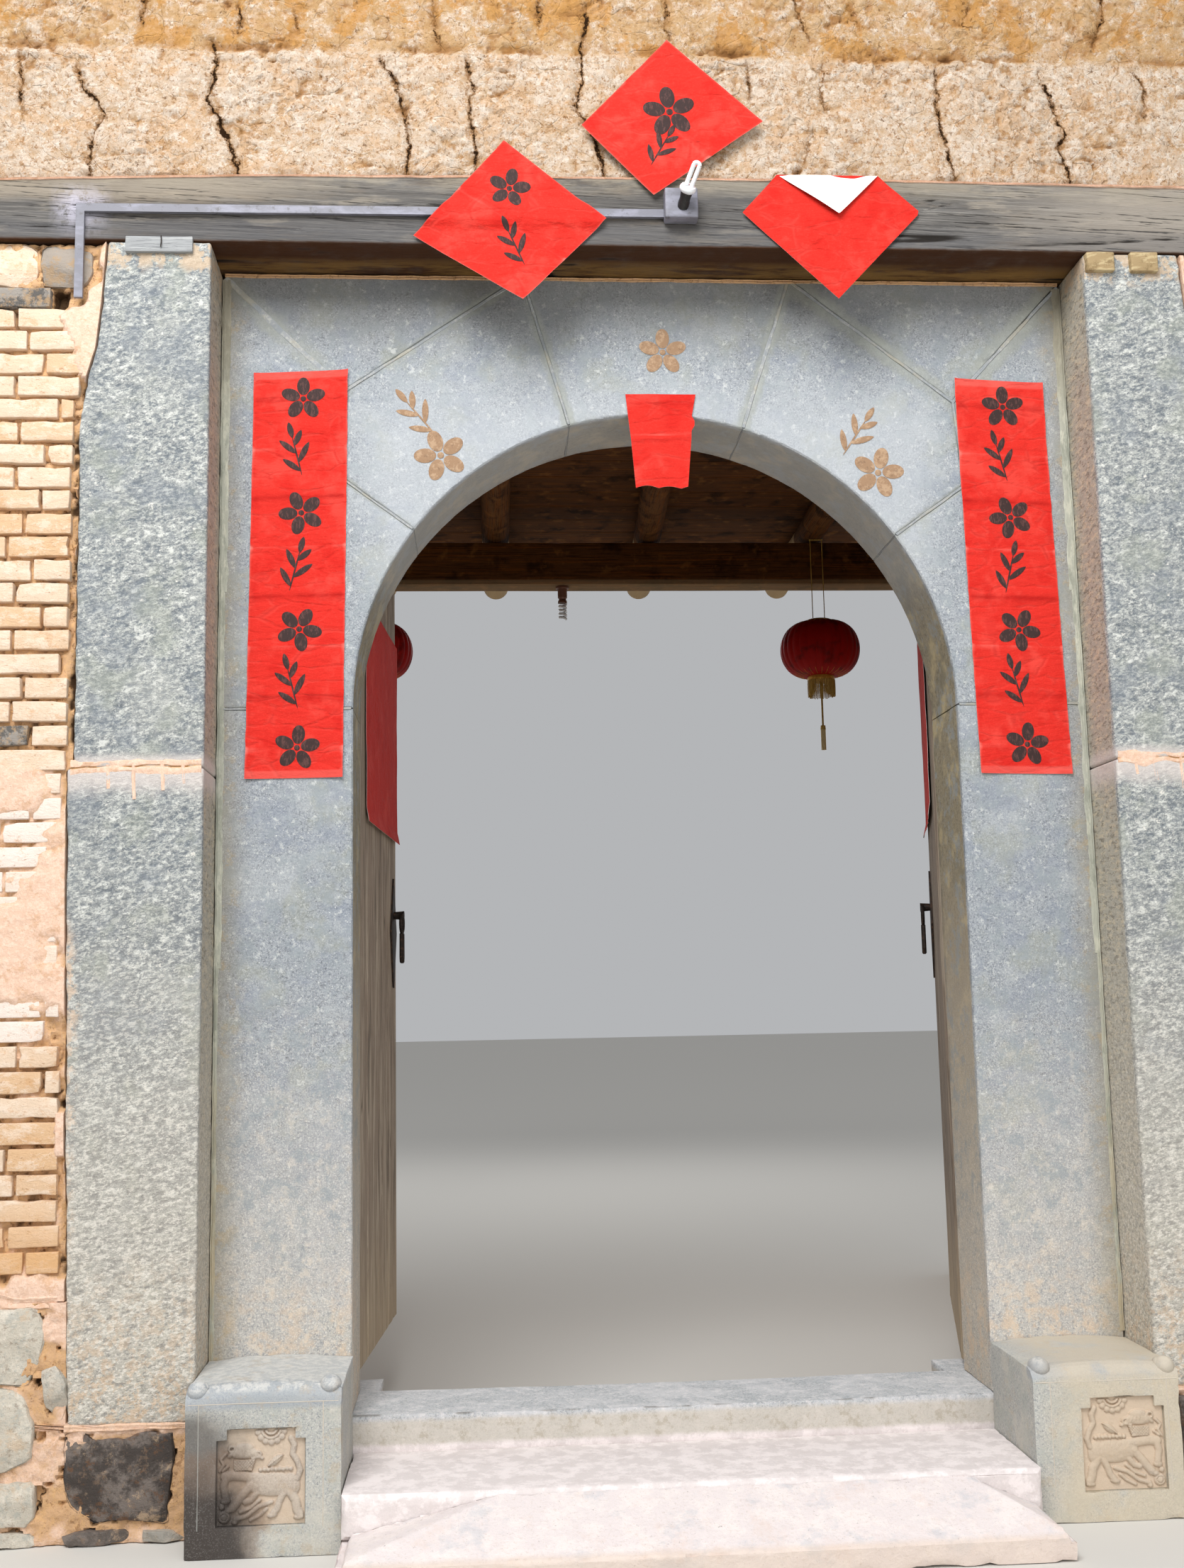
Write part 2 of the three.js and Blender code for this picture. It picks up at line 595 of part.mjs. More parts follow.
function addLights() {
  const lantern = lanternGeometry();
  [['left', 0], ['right', 3]].forEach(([side, index]) => {
    const mesh = addPiece(`lantern_${side}`, lantern, LANTERN_CLOTH);
    mesh.position.set(joistX(index, LANTERN_Y), LANTERN_Y, 0);
  });

  const holderTop = CROSS_BEAM.bottom - GAP;
  const lamp = new THREE.LatheGeometry([
    [0, -176], [16, -172], [24, -150], [24, -80], [18, -64], [24, -60], [24, -18], [34, -10],
    [34, 0], [0, 0],
  ].map(([r, z]) => new THREE.Vector2(r, z)), 16).rotateX(Math.PI / 2);
  const ceilingLamp = addPiece('ceiling_lamp', lamp, LAMP_PLASTIC);
  ceilingLamp.position.set(-113, 3470, holderTop);

  const { left, right, bottom, top, depth } = LAMP_BOX;
  const casing = box(left, right, -depth, -GAP, bottom, top);
  const socket = rod([80, -depth + 6, 3675], [88, -86, 3704], 17);
  const collar = rod([87, -82, 3701], [91, -96, 3711], 25);
  const tubes = rod([90, -92, 3708], [116, -128, 3768], 17);
  addPiece('wall_lamp', join(casing, socket, collar, tubes), LAMP_PLASTIC);

  const trunkWidth = 24;
  const runZ = 3651;
  const dropX = -1676;
  addPiece('cable_trunking', facePrism([
    [dropX, 3390], [dropX + trunkWidth, 3390], [dropX + trunkWidth, runZ],
    [LAMP_BOX.left - GAP, runZ + 6], [LAMP_BOX.left - GAP, runZ + 6 + trunkWidth],
    [dropX, runZ + trunkWidth],
  ], -12 - GAP, -GAP), LAMP_PLASTIC);
}

addPilasters();
addPedestals();
addThreshold();
addSteps();
addArchStones();
addRingWall();
addLintelBeam();
addWallOver();
addRevealLintels();
addDoorHead();
addDoor();
addHall();
addLights();

export default gateway;
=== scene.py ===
"""The gateway bay of a round earthen dwelling: dressed granite, rammed earth, sun-dried brick,
weathered timber, red paper and two cloth lanterns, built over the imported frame.

Sizes are in millimetres in the part's own frame: X along the wall, Y into it, Z up.
"""

import functools
import math

import bmesh
import bpy
import numpy as np
from mathutils import Matrix, Vector


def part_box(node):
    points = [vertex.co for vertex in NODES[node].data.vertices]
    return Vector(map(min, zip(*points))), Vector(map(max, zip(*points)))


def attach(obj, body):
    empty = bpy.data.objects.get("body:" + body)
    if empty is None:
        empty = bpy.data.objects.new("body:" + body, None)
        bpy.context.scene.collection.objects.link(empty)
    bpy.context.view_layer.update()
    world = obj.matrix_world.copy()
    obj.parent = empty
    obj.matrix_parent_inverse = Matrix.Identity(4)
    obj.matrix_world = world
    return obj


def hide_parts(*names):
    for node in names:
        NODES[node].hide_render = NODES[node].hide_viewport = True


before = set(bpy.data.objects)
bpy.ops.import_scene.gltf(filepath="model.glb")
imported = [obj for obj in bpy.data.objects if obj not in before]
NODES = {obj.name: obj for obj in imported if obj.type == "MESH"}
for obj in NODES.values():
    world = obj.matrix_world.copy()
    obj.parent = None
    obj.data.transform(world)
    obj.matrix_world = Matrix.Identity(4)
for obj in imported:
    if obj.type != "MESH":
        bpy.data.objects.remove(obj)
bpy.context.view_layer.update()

MM = 0.001
SIDES = (("left", -1), ("right", 1))


def corners(node):
    """A frame node's lowest and highest corners, in millimetres."""
    low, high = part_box(node)
    return np.array(low) / MM, np.array(high) / MM


# Driving sizes, read from the frame.
HALF_BAY = corners("lintel_beam")[1][0]
WALL_TOP = corners("earth_wall_over")[1][2]
WALL_BACK = corners("earth_wall_over")[1][1]
PANEL_FACE = corners("jamb_left")[0][1]
STONE_BACK = corners("jamb_left")[1][1]
ARCH_RADIUS = corners("jamb_right")[0][0]
PANEL_EDGE = corners("jamb_right")[1][0]
SILL = corners("threshold")[1][2]
SPRING = corners("jamb_left")[1][2] + 1
BEAM_BOTTOM = corners("lintel_beam")[0][2]
BEAM_BACK = corners("lintel_beam")[1][1]
PILASTER_INNER = corners("pilaster_right_lower")[0][0]
PILASTER_FOOT = corners("pilaster_right_lower")[0][2]
PILASTER_JOINT = corners("pilaster_right_lower")[1][2] + 1
PLINTH_TOP = corners("plinth_left")[1][2]

# The camera: the photograph's own place, solved from the stone joints and the arch.
PHOTO_HEIGHT = 2212
FOCAL_PIXELS = 2244
SENSOR = 36
CAMERA_PLACE = (-519.8, -4409.6, 1360.5)
CAMERA_YAW, CAMERA_PITCH, CAMERA_ROLL = 3.913, 7.860, -1.1226


def add_camera():
    yaw, pitch, roll = (math.radians(a) for a in (CAMERA_YAW, CAMERA_PITCH, CAMERA_ROLL))
    forward = Vector((math.sin(yaw) * math.cos(pitch), math.cos(yaw) * math.cos(pitch), math.sin(pitch)))
    level = Vector((math.cos(yaw), -math.sin(yaw), 0))
    upright = level.cross(forward)
    right = math.cos(roll) * level + math.sin(roll) * upright
    up = -math.sin(roll) * level + math.cos(roll) * upright
    camera = bpy.data.objects.new("camera", bpy.data.cameras.new("camera"))
    bpy.context.scene.collection.objects.link(camera)
    camera.data.sensor_width = SENSOR
    camera.data.lens = FOCAL_PIXELS / PHOTO_HEIGHT * SENSOR
    camera.data.clip_start = 0.05
    turn = Matrix((right, up, -forward)).transposed().to_4x4()
    camera.matrix_world = Matrix.Translation(Vector(CAMERA_PLACE) * MM) @ turn
    bpy.context.scene.camera = camera


def add_lights():
    """An overcast noon: a wide soft sky in front and above, and a weaker one over the courtyard."""
    bpy.context.scene.view_settings.view_transform = "Standard"
    world = bpy.data.worlds.new("studio")
    world.use_nodes = True
    world.node_tree.nodes["Background"].inputs["Color"].default_value = srgb("#f1f3f6")
    world.node_tree.nodes["Background"].inputs["Strength"].default_value = 0.52
    bpy.context.scene.world = world
    for name, place, target, size, watts in (
        ("front_sky", (-1900, -4700, 7200), (0, 0, 1800), 4.0, 640),
        ("front_fill", (2600, -6500, 2600), (200, 0, 1300), 4.0, 130),
        ("courtyard_sky", (300, 8200, 5600), (0, 3000, 1200), 4.0, 150),
    ):
        lamp = bpy.data.lights.new(name, "AREA")
        lamp.energy = watts
        lamp.size = size
        light = bpy.data.objects.new(name, lamp)
        light.location = Vector(place) * MM
        light.rotation_euler = (Vector(target) - Vector(place)).to_track_quat("-Z", "Y").to_euler()
        bpy.context.scene.collection.objects.link(light)


# Chance: the same for the same place and seed in every run.


def lattice(corner, seed):
    """A settled value from 0 to 1 for each whole-numbered place."""
    mixed = corner @ np.array([73856093, 19349663, 83492791]) + seed * 7919 + 104729
    for prime in (1274126177, 1597334677):
        mixed = mixed & 0xFFFFFFFF
        mixed = (mixed ^ (mixed >> 13)) * prime
    mixed = mixed & 0xFFFFFFFF
    return ((mixed ^ (mixed >> 15)) % 100003) / 100003


def swell(points, size, seed=0):
    """Smooth heights from -1 to 1 in patches about size across; size may be one for each axis."""
    place = np.asarray(points, float) / size
    low = np.floor(place)
    part = place - low
    part = part * part * (3 - 2 * part)
    low = low.astype(np.int64)
    total = np.zeros(len(place))
    for corner in range(8):
        step = np.array([corner & 1, corner >> 1 & 1, corner >> 2])
        weight = np.prod(np.where(step == 1, part, 1 - part), axis=1)
        total += weight * lattice(low + step, seed)
    return 2 * total - 1


def rumple(points, size, octaves=3, seed=0, fade=0.5):
    """Swells of size with finer ones on them, each half as wide, from -1 to 1."""
    total, share, whole = 0, 1.0, 0.0
    for octave in range(octaves):
        total = total + share * swell(points, np.asarray(size) / 2 ** octave, seed + 17 * octave)
        whole += share
        share *= fade
    return total / whole


def pebbles(points, size, seed=0):
    """On a face across X and Z: how far the nearest and the next grain's middles are, in grain widths."""
    place = np.asarray(points, float) / size
    place = np.stack([place[:, 0], np.zeros(len(place)), place[:, 2]], axis=1)
    low = np.floor(place).astype(np.int64)
    nearest = np.full(len(place), 9.0)
    following = nearest.copy()
    for i in (-1, 0, 1):
        for k in (-1, 0, 1):
            cell = low + np.array([i, 0, k])
            across = cell[:, 0] + lattice(cell, seed) - place[:, 0]
            along = cell[:, 2] + lattice(cell, seed + 1) - place[:, 2]
            apart = np.hypot(across, along)
            following = np.minimum(following, np.maximum(apart, nearest))
            nearest = np.minimum(nearest, apart)
    return nearest, following


# Forms: points in millimetres and the faces over them.


def loft(rings):
    """A closed skin over rings of points, each end closed to the middle of its ring."""
    rings = np.asarray(rings, float)
    rows, columns = rings.shape[:2]
    index = np.arange(rows * columns).reshape(rows, columns)
    after = np.roll(index, -1, axis=1)
    quads = np.stack([index[:-1], after[:-1], after[1:], index[1:]], axis=-1).reshape(-1, 4)
    start, end = index.size, index.size + 1
    caps = [[start, b, a] for a, b in zip(index[0].tolist(), after[0].tolist())]
    caps += [[end, a, b] for a, b in zip(index[-1].tolist(), after[-1].tolist())]
    points = np.concatenate([rings.reshape(-1, 3), [rings[0].mean(axis=0), rings[-1].mean(axis=0)]])
    return points, outward(points, quads.tolist() + caps)


def outward(points, faces):
    """Triangles and quads, turned over if together they face inward."""
    points = points - points.mean(axis=0)
    a, b, c, d = (points[[face[k] for face in faces]] for k in (0, 1, 2, -1))
    inside = np.einsum("ij,ij->", a, np.cross(b, c) + np.cross(c, d))
    return faces if inside > 0 else [face[::-1] for face in faces]


def smooth(value, start, end):
    """From 0 at start to 1 at end, eased."""
    part = np.clip((value - start) / (end - start), 0, 1)
    return part * part * (3 - 2 * part)


def jumble(points, size, depth, seed):
    """Points shaken out of true, near ones alike."""
    return points + depth * np.stack([swell(points, size, seed + k) for k in (0, 31, 62)], axis=1)


def flat_places(x, z):
    """Places on a flat face across X and Z, from their grids."""
    return np.stack([np.ravel(x), np.zeros(np.size(x)), np.ravel(z)], axis=1)


def rough_over(x, z):
    """For a face's grids, a function that rumples it; pull draws the swells in along each axis."""
    flat = flat_places(x, z)
    return lambda size, octaves, seed, fade=0.5, pull=1: rumple(
        flat * pull, size, octaves, seed, fade).reshape(np.shape(x))


def paced(route, step, fewest, closing=True):
    """X and Z of a route walked in paces about step long, at least the fewest; closing keeps its end."""
    route = np.asarray(route, float)
    ends = np.concatenate([[0], np.cumsum(np.hypot(*np.diff(route, axis=0).T))])
    along = np.linspace(0, ends[-1], max(fewest, int(ends[-1] / step)), endpoint=closing)
    return np.interp(along, ends, route[:, 0]), np.interp(along, ends, route[:, 1])


def from_line(x, z, route):
    """How far each place on a face is from a route drawn on it."""
    nearest = np.full(np.shape(x), 1e9)
    for (x0, z0), (x1, z1) in zip(route[:-1], route[1:]):
        length = (x1 - x0) ** 2 + (z1 - z0) ** 2
        part = np.clip(((x - x0) * (x1 - x0) + (z - z0) * (z1 - z0)) / length, 0, 1)
        nearest = np.minimum(nearest, np.hypot(x - x0 - part * (x1 - x0), z - z0 - part * (z1 - z0)))
    return nearest


def lines(low, high, step, rounding=0.0):
    """Places from low to high about step apart, with more at the ends where an arris rounds."""
    count = max(2, round((high - low - 2 * rounding) / step) + 1)
    middle = np.linspace(low + rounding, high - rounding, count)
    if rounding == 0:
        return middle
    ends = np.array([0.0, 0.45]) * rounding
    return np.concatenate([low + ends, middle, high - ends[::-1]])


def grid_faces(rows, columns, first=0):
    """Quads over rows of points, facing the side from which the rows climb and columns run right."""
    index = first + np.arange(rows * columns).reshape(rows, columns)
    return np.stack([index[:-1, :-1], index[:-1, 1:], index[1:, 1:], index[1:, :-1]], axis=-1).reshape(-1, 4)


def rim(rows, columns):
    """The grid's outer points, in turn round it."""
    index = np.arange(rows * columns).reshape(rows, columns)
    return np.concatenate([index[0, :-1], index[:-1, -1], index[-1, :0:-1], index[:0:-1, 0]])


def backed(front, back):
    """A worked face closed behind by a flat back: front is rows of points, back the back's Y."""
    rows, columns = front.shape[:2]
    points = front.reshape(-1, 3)
    edge = rim(rows, columns)
    ring = points[edge].copy()
    ring[:, 1] = back
    first, count = len(points), len(edge)
    here = np.arange(count)
    ahead = (here + 1) % count
    walls = np.stack([edge, first + here, first + ahead, edge[ahead]], axis=1)
    centre = first + count
    fan = np.stack([first + here, np.full(count, centre), first + ahead], axis=1)
    faces = grid_faces(rows, columns).tolist() + walls.tolist() + fan.tolist()
    return np.concatenate([points, ring, [ring.mean(axis=0)]]), faces


def net(xs, ys, zs):
    """The surface of the box that three sets of lines rule: its points, and quads that face out."""
    rules = [np.asarray(a, float) for a in (xs, ys, zs)]
    counts = [len(a) for a in rules]
    steps = np.indices(counts)
    outer = np.zeros(counts, bool)
    for axis in range(3):
        outer |= (steps[axis] == 0) | (steps[axis] == counts[axis] - 1)
    index = np.full(counts, -1)
    index[outer] = np.arange(outer.sum())
    points = np.stack([rules[axis][steps[axis][outer]] for axis in range(3)], axis=1)
    quads = []
    for axis in range(3):
        for end in (0, counts[axis] - 1):
            side = np.take(index, end, axis=axis)
            faces = np.stack([side[:-1, :-1], side[1:, :-1], side[1:, 1:], side[:-1, 1:]], axis=-1)
            seen = (axis == 1) == (end == 0)
            quads.append((faces if seen else faces[..., ::-1]).reshape(-1, 4))
    return points, np.concatenate(quads)


def rounded(points, rounding):
    """Rounds the arrises of the box that the points lie on."""
    low, high = points.min(axis=0), points.max(axis=0)
    inner = np.clip(points, low + rounding, high - rounding)
    out = points - inner
    return inner + out * rounding / np.linalg.norm(out, axis=1, keepdims=True)


def block(low, high, step, rounding):
    """A box with rounded arrises between two corners, ruled about step apart, or as far on each axis."""
    rounding = min(rounding, *(0.45 * (b - a) for a, b in zip(low, high)))
    steps = np.broadcast_to(step, 3)
    points, faces = net(*(lines(a, b, wide, rounding) for a, b, wide in zip(low, high, steps)))
    return rounded(points, rounding), faces


def bar(route, radius, sides=12):
    """A round bar along a route; its radius may be one for each point, or for each side too."""
    route = np.asarray(route, float)
    ahead = np.gradient(route, axis=0)
    ahead /= np.linalg.norm(ahead, axis=1, keepdims=True)
    across = np.cross(ahead, (0.31, 0.52, 0.79))
    across /= np.linalg.norm(across, axis=1, keepdims=True)
    upward = np.cross(ahead, across)
    angle = np.arange(sides) * 2 * math.pi / sides
    radius = np.broadcast_to(np.reshape(radius, (-1, 1)) if np.ndim(radius) == 1 else radius,
                             (len(route), sides))
    return loft(route[:, None] + radius[..., None] * (np.cos(angle)[:, None] * across[:, None]
                                                      + np.sin(angle)[:, None] * upward[:, None]))


def ruled(node, steps, shown=lambda normal: True):
    """A frame node's shape cut by a grid, for working its surface: points, normals, arris, faces.

    steps are the grid's spacings along X, Y and Z. Only faces whose normals are shown get cut.
    arris is near 0 on a flat and grows where faces meet at an edge.
    """
    shape = bmesh.new()
    shape.from_mesh(NODES[node].data)
    bmesh.ops.scale(shape, vec=(1 / MM,) * 3, verts=shape.verts)
    bmesh.ops.remove_doubles(shape, verts=shape.verts, dist=0.02)
    low, high = corners(node)
    for axis, step in enumerate(steps):
        shape.normal_update()
        faces = [face for face in shape.faces if shown(face.normal)]
        parts = faces + list({edge for face in faces for edge in face.edges})
        count = round((high[axis] - low[axis]) / step)
        places = low[axis] + (high[axis] - low[axis]) * np.arange(1, count) / max(count, 1)
        halve(shape, parts, axis, places)
    shape.normal_update()
    points = np.array([vert.co for vert in shape.verts])
    normals = np.array([vert.normal for vert in shape.verts])
    shape.verts.index_update()
    faces = [[vert.index for vert in face.verts] for face in shape.faces]
    meet, count = np.zeros((len(points), 3)), np.zeros(len(points))
    for face, indices in zip(shape.faces, faces):
        meet[indices] += face.normal
        count[indices] += 1
    shape.free()
    arris = 1 - np.linalg.norm(meet, axis=1) / count
    return points, normals, arris, faces


def halve(shape, parts, axis, places):
    """Cuts faces across an axis at every place, the middle one first and then each half alone."""
    if len(places) == 0:
        return
    middle = len(places) // 2
    place, square = Vector((0, 0, 0)), Vector((0, 0, 0))
    place[axis], square[axis] = places[middle], 1
    cut = bmesh.ops.bisect_plane(shape, geom=parts, dist=0.01, plane_co=place, plane_no=square)
    below, above = [], []
    for part in cut["geom"]:
        if isinstance(part, bmesh.types.BMVert):
            continue
        reach = [vert.co[axis] for vert in part.verts]
        (below if min(reach) + max(reach) < 2 * places[middle] else above).append(part)
    halve(shape, below, axis, places[:middle])
    halve(shape, above, axis, places[middle + 1:])


class Pile:
    """Blocks gathered into one mesh, with a tone for each point and a finish for each face."""

    def __init__(self):
        self.points, self.faces, self.tones, self.finishes = [], [], [], []
        self.count = 0

    def lay(self, points, faces, tone=0.0, finish=0):
        points = np.asarray(points, float)
        if isinstance(faces, np.ndarray):
            faces = faces.tolist()
        self.points.append(points)
        self.tones.append(np.broadcast_to(tone, len(points)))
        self.faces.extend([index + self.count for index in face] for face in faces)
        self.finishes.extend(np.broadcast_to(finish, len(faces)).tolist())
        self.count += len(points)
        return self

    def lay_face(self, front, back, tone, behind, finish=0):
        """Lays a worked face with a tone for each of its points, closed behind by a flat back."""
        points, faces = backed(front, back)
        tones = np.full(len(points), float(behind))
        tones[:np.size(tone)] = np.ravel(tone)
        return self.lay(points, faces, tones, finish)

    def build(self, name, finishes, slot, stands_for=(), body="root", crease=38, traits=None):
        mesh = bpy.data.meshes.new(name)
        mesh.from_pydata((np.concatenate(self.points) * MM).tolist(), [], self.faces)
        for finish in finishes:
            mesh.materials.append(FINISHES[finish])
        mesh.polygons.foreach_set("material_index", self.finishes)
        mesh.polygons.foreach_set("use_smooth", [True] * len(self.faces))
        mesh.set_sharp_from_angle(angle=math.radians(crease))
        tone = mesh.attributes.new("tone", "FLOAT", "POINT")
        tone.data.foreach_set("value", np.concatenate(self.tones).astype(np.float32))
        for trait, values in (traits or {}).items():
            kept = mesh.attributes.new(trait, "FLOAT_VECTOR", "POINT")
            kept.data.foreach_set("vector", np.asarray(values, np.float32).ravel())
        made = bpy.data.objects.new(name, mesh)
        bpy.context.scene.collection.objects.link(made)
        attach(made, body)
        if stands_for:
            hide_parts(*stands_for)
        return made


# Colour and node helpers.


def srgb(hex_colour):
    """A hex sRGB colour as the linear RGBA that the shader works in."""
    channels = [int(hex_colour[i:i + 2], 16) / 255 for i in (1, 3, 5)]
    linear = [c / 12.92 if c <= 0.04045 else ((c + 0.055) / 1.055) ** 2.4 for c in channels]
    return (*linear, 1.0)


def add(tree, kind, links=None, **settings):
    """Adds a node: settings are its own properties, links its sockets' values or what feeds them."""
    made = tree.nodes.new(kind)
    for name, value in settings.items():
        setattr(made, name, value)
    for socket, value in (links or {}).items():
        if isinstance(value, bpy.types.NodeSocket):
            tree.links.new(value, made.inputs[socket])
        elif isinstance(value, str):
            made.inputs[socket].default_value = srgb(value)
        else:
            made.inputs[socket].default_value = value
    return made


class Finish:
    """A material in the making: the colour so far, with the coats and reliefs laid on it."""

    def __init__(self, name, colour, roughness, specular=0.3, metallic=0.0):
        self.made = bpy.data.materials.new(name)
        self.made.use_nodes = True
        self.tree = self.made.node_tree
        self.shader = self.tree.nodes["Principled BSDF"]
        looks = {"Roughness": roughness, "Metallic": metallic, "Specular IOR Level": specular}
        for socket, value in looks.items():
            self.shader.inputs[socket].default_value = value
        self.place = add(self.tree, "ShaderNodeTexCoord").outputs["Object"]
        self.colour = colour
        self.normal = None

    def laid(self, size, stretch, slant, shift, bend=0.0):
        """Coordinates in patterns of size millimetres, pushed about by up to bend of them."""
        place = self.place
        if bend:
            stir = add(self.tree, "ShaderNodeTexNoise", {
                "Vector": place, "Scale": 0.5 / (size * MM), "Detail": 3.0}).outputs["Color"]
            place = add(self.tree, "ShaderNodeVectorMath", {
                0: stir, 1: (bend * size * MM,) * 3, 2: place}, operation="MULTIPLY_ADD").outputs[0]
        scale = [size * MM * s for s in stretch]
        return add(self.tree, "ShaderNodeMapping", {
            "Vector": place, "Scale": scale, "Rotation": (0, -math.radians(slant), 0),
            "Location": (shift, shift * 0.7, shift * 1.3)}, vector_type="TEXTURE").outputs[0]

    def mottle(self, size, detail=3.0, rough=0.6, shift=0.0, stretch=(1, 1, 1), slant=0.0, bend=0.0):
        """Soft patches about size millimetres across, drawn out along the axes by stretch."""
        return add(self.tree, "ShaderNodeTexNoise", {
            "Vector": self.laid(size, stretch, slant, shift, bend), "Scale": 1.0, "Detail": detail,
            "Roughness": rough}).outputs["Fac"]

    def grains(self, size, feature="F1", stretch=(1, 1, 1), slant=0.0, shift=0.0, bend=0.0):
        """How far the middle (or the edge) of the nearest grain is, for grains about size apart."""
        return add(self.tree, "ShaderNodeTexVoronoi", {
            "Vector": self.laid(size, stretch, slant, shift, bend), "Scale": 1.0},
            feature=feature).outputs["Distance"]

    def mark(self):
        """The tone that the mesh carries."""
        return add(self.tree, "ShaderNodeAttribute", attribute_name="tone").outputs["Fac"]

    def trait(self, name):
        """The three values that the mesh carries under a name."""
        carried = add(self.tree, "ShaderNodeAttribute", attribute_name=name).outputs["Vector"]
        return add(self.tree, "ShaderNodeSeparateXYZ", {0: carried}).outputs

    def sum(self, operation, *values):
        """One step of arithmetic on patterns and numbers."""
        return add(self.tree, "ShaderNodeMath", dict(enumerate(values)), operation=operation).outputs[0]

    def ramp(self, value, start, end, top=1.0):
        """From 0 where value is at start to top where it is at end, eased."""
        return add(self.tree, "ShaderNodeMapRange", {
            "Value": value, "From Min": start, "From Max": end, "To Max": top},
            interpolation_type="SMOOTHSTEP").outputs[0]

    def rise(self, axis, start, end, ragged=60, size=180, mirrored=False, shift=0.0):
        """From 0 at start to 1 at end along an axis, with an edge as ragged as given."""
        along = add(self.tree, "ShaderNodeSeparateXYZ", {0: self.place}).outputs[axis]
        if mirrored:
            along = self.sum("ABSOLUTE", along)
        edge = self.sum("MULTIPLY_ADD", self.mottle(size, 4, shift=shift), 2 * ragged * MM, along)
        return add(self.tree, "ShaderNodeMapRange", {
            "Value": edge, "From Min": (start + ragged) * MM, "From Max": (end + ragged) * MM}).outputs[0]

    def both(self, *masks):
        """Where every one of the masks is."""
        return functools.reduce(lambda one, other: self.sum("MULTIPLY", one, other), masks)

    def coats(self, *rows):
        """Lays colours on in turn, each row what one coat takes."""
        for row in rows:
            self.coat(*row)

    def coat(self, colour, pattern, start, end, share=1.0, where=None):
        """Lays a colour on the last one, where pattern goes from start to end.

        A pattern is a socket, or the size, detail, roughness and shift of a mottle.
        """
        if isinstance(pattern, tuple):
            pattern = self.mottle(*pattern)
        cover = self.ramp(pattern, start, end, share)
        if where is not None:
            cover = self.both(cover, where)
        self.colour = add(self.tree, "ShaderNodeMix", {0: cover, 6: self.colour, 7: colour},
                          data_type="RGBA").outputs[2]
        return self

    def relief(self, height, depth):
        """Presses the pattern in, depth millimetres deep."""
        links = {"Height": height, "Distance": depth * MM, "Strength": 1.0}
        if self.normal is not None:
            links["Normal"] = self.normal
        self.normal = add(self.tree, "ShaderNodeBump", links).outputs["Normal"]
        return self

    def done(self):
        if isinstance(self.colour, str):
            self.shader.inputs["Base Color"].default_value = srgb(self.colour)
        else:
            self.tree.links.new(self.colour, self.shader.inputs["Base Color"])
        if self.normal is not None:
            self.tree.links.new(self.normal, self.shader.inputs["Normal"])
        return self.made


# Stone and earth finishes.


def speckle(stone, light, dark, mica, size=5.0):
    """Granite's own grain: pale feldspar, grey quartz and dark mica, each a few millimetres wide."""
    grain = stone.mottle(size, 4.0, 0.8)
    stone.coat(light, grain, 0.50, 0.60, 0.9)
    stone.coat(dark, stone.mottle(size * 1.3, 3.0, 0.75, shift=4), 0.51, 0.62, 0.85)
    stone.coat(mica, stone.mottle(size * 1.8, 3.0, 0.8, shift=7), 0.58, 0.66, 0.7)
    return grain


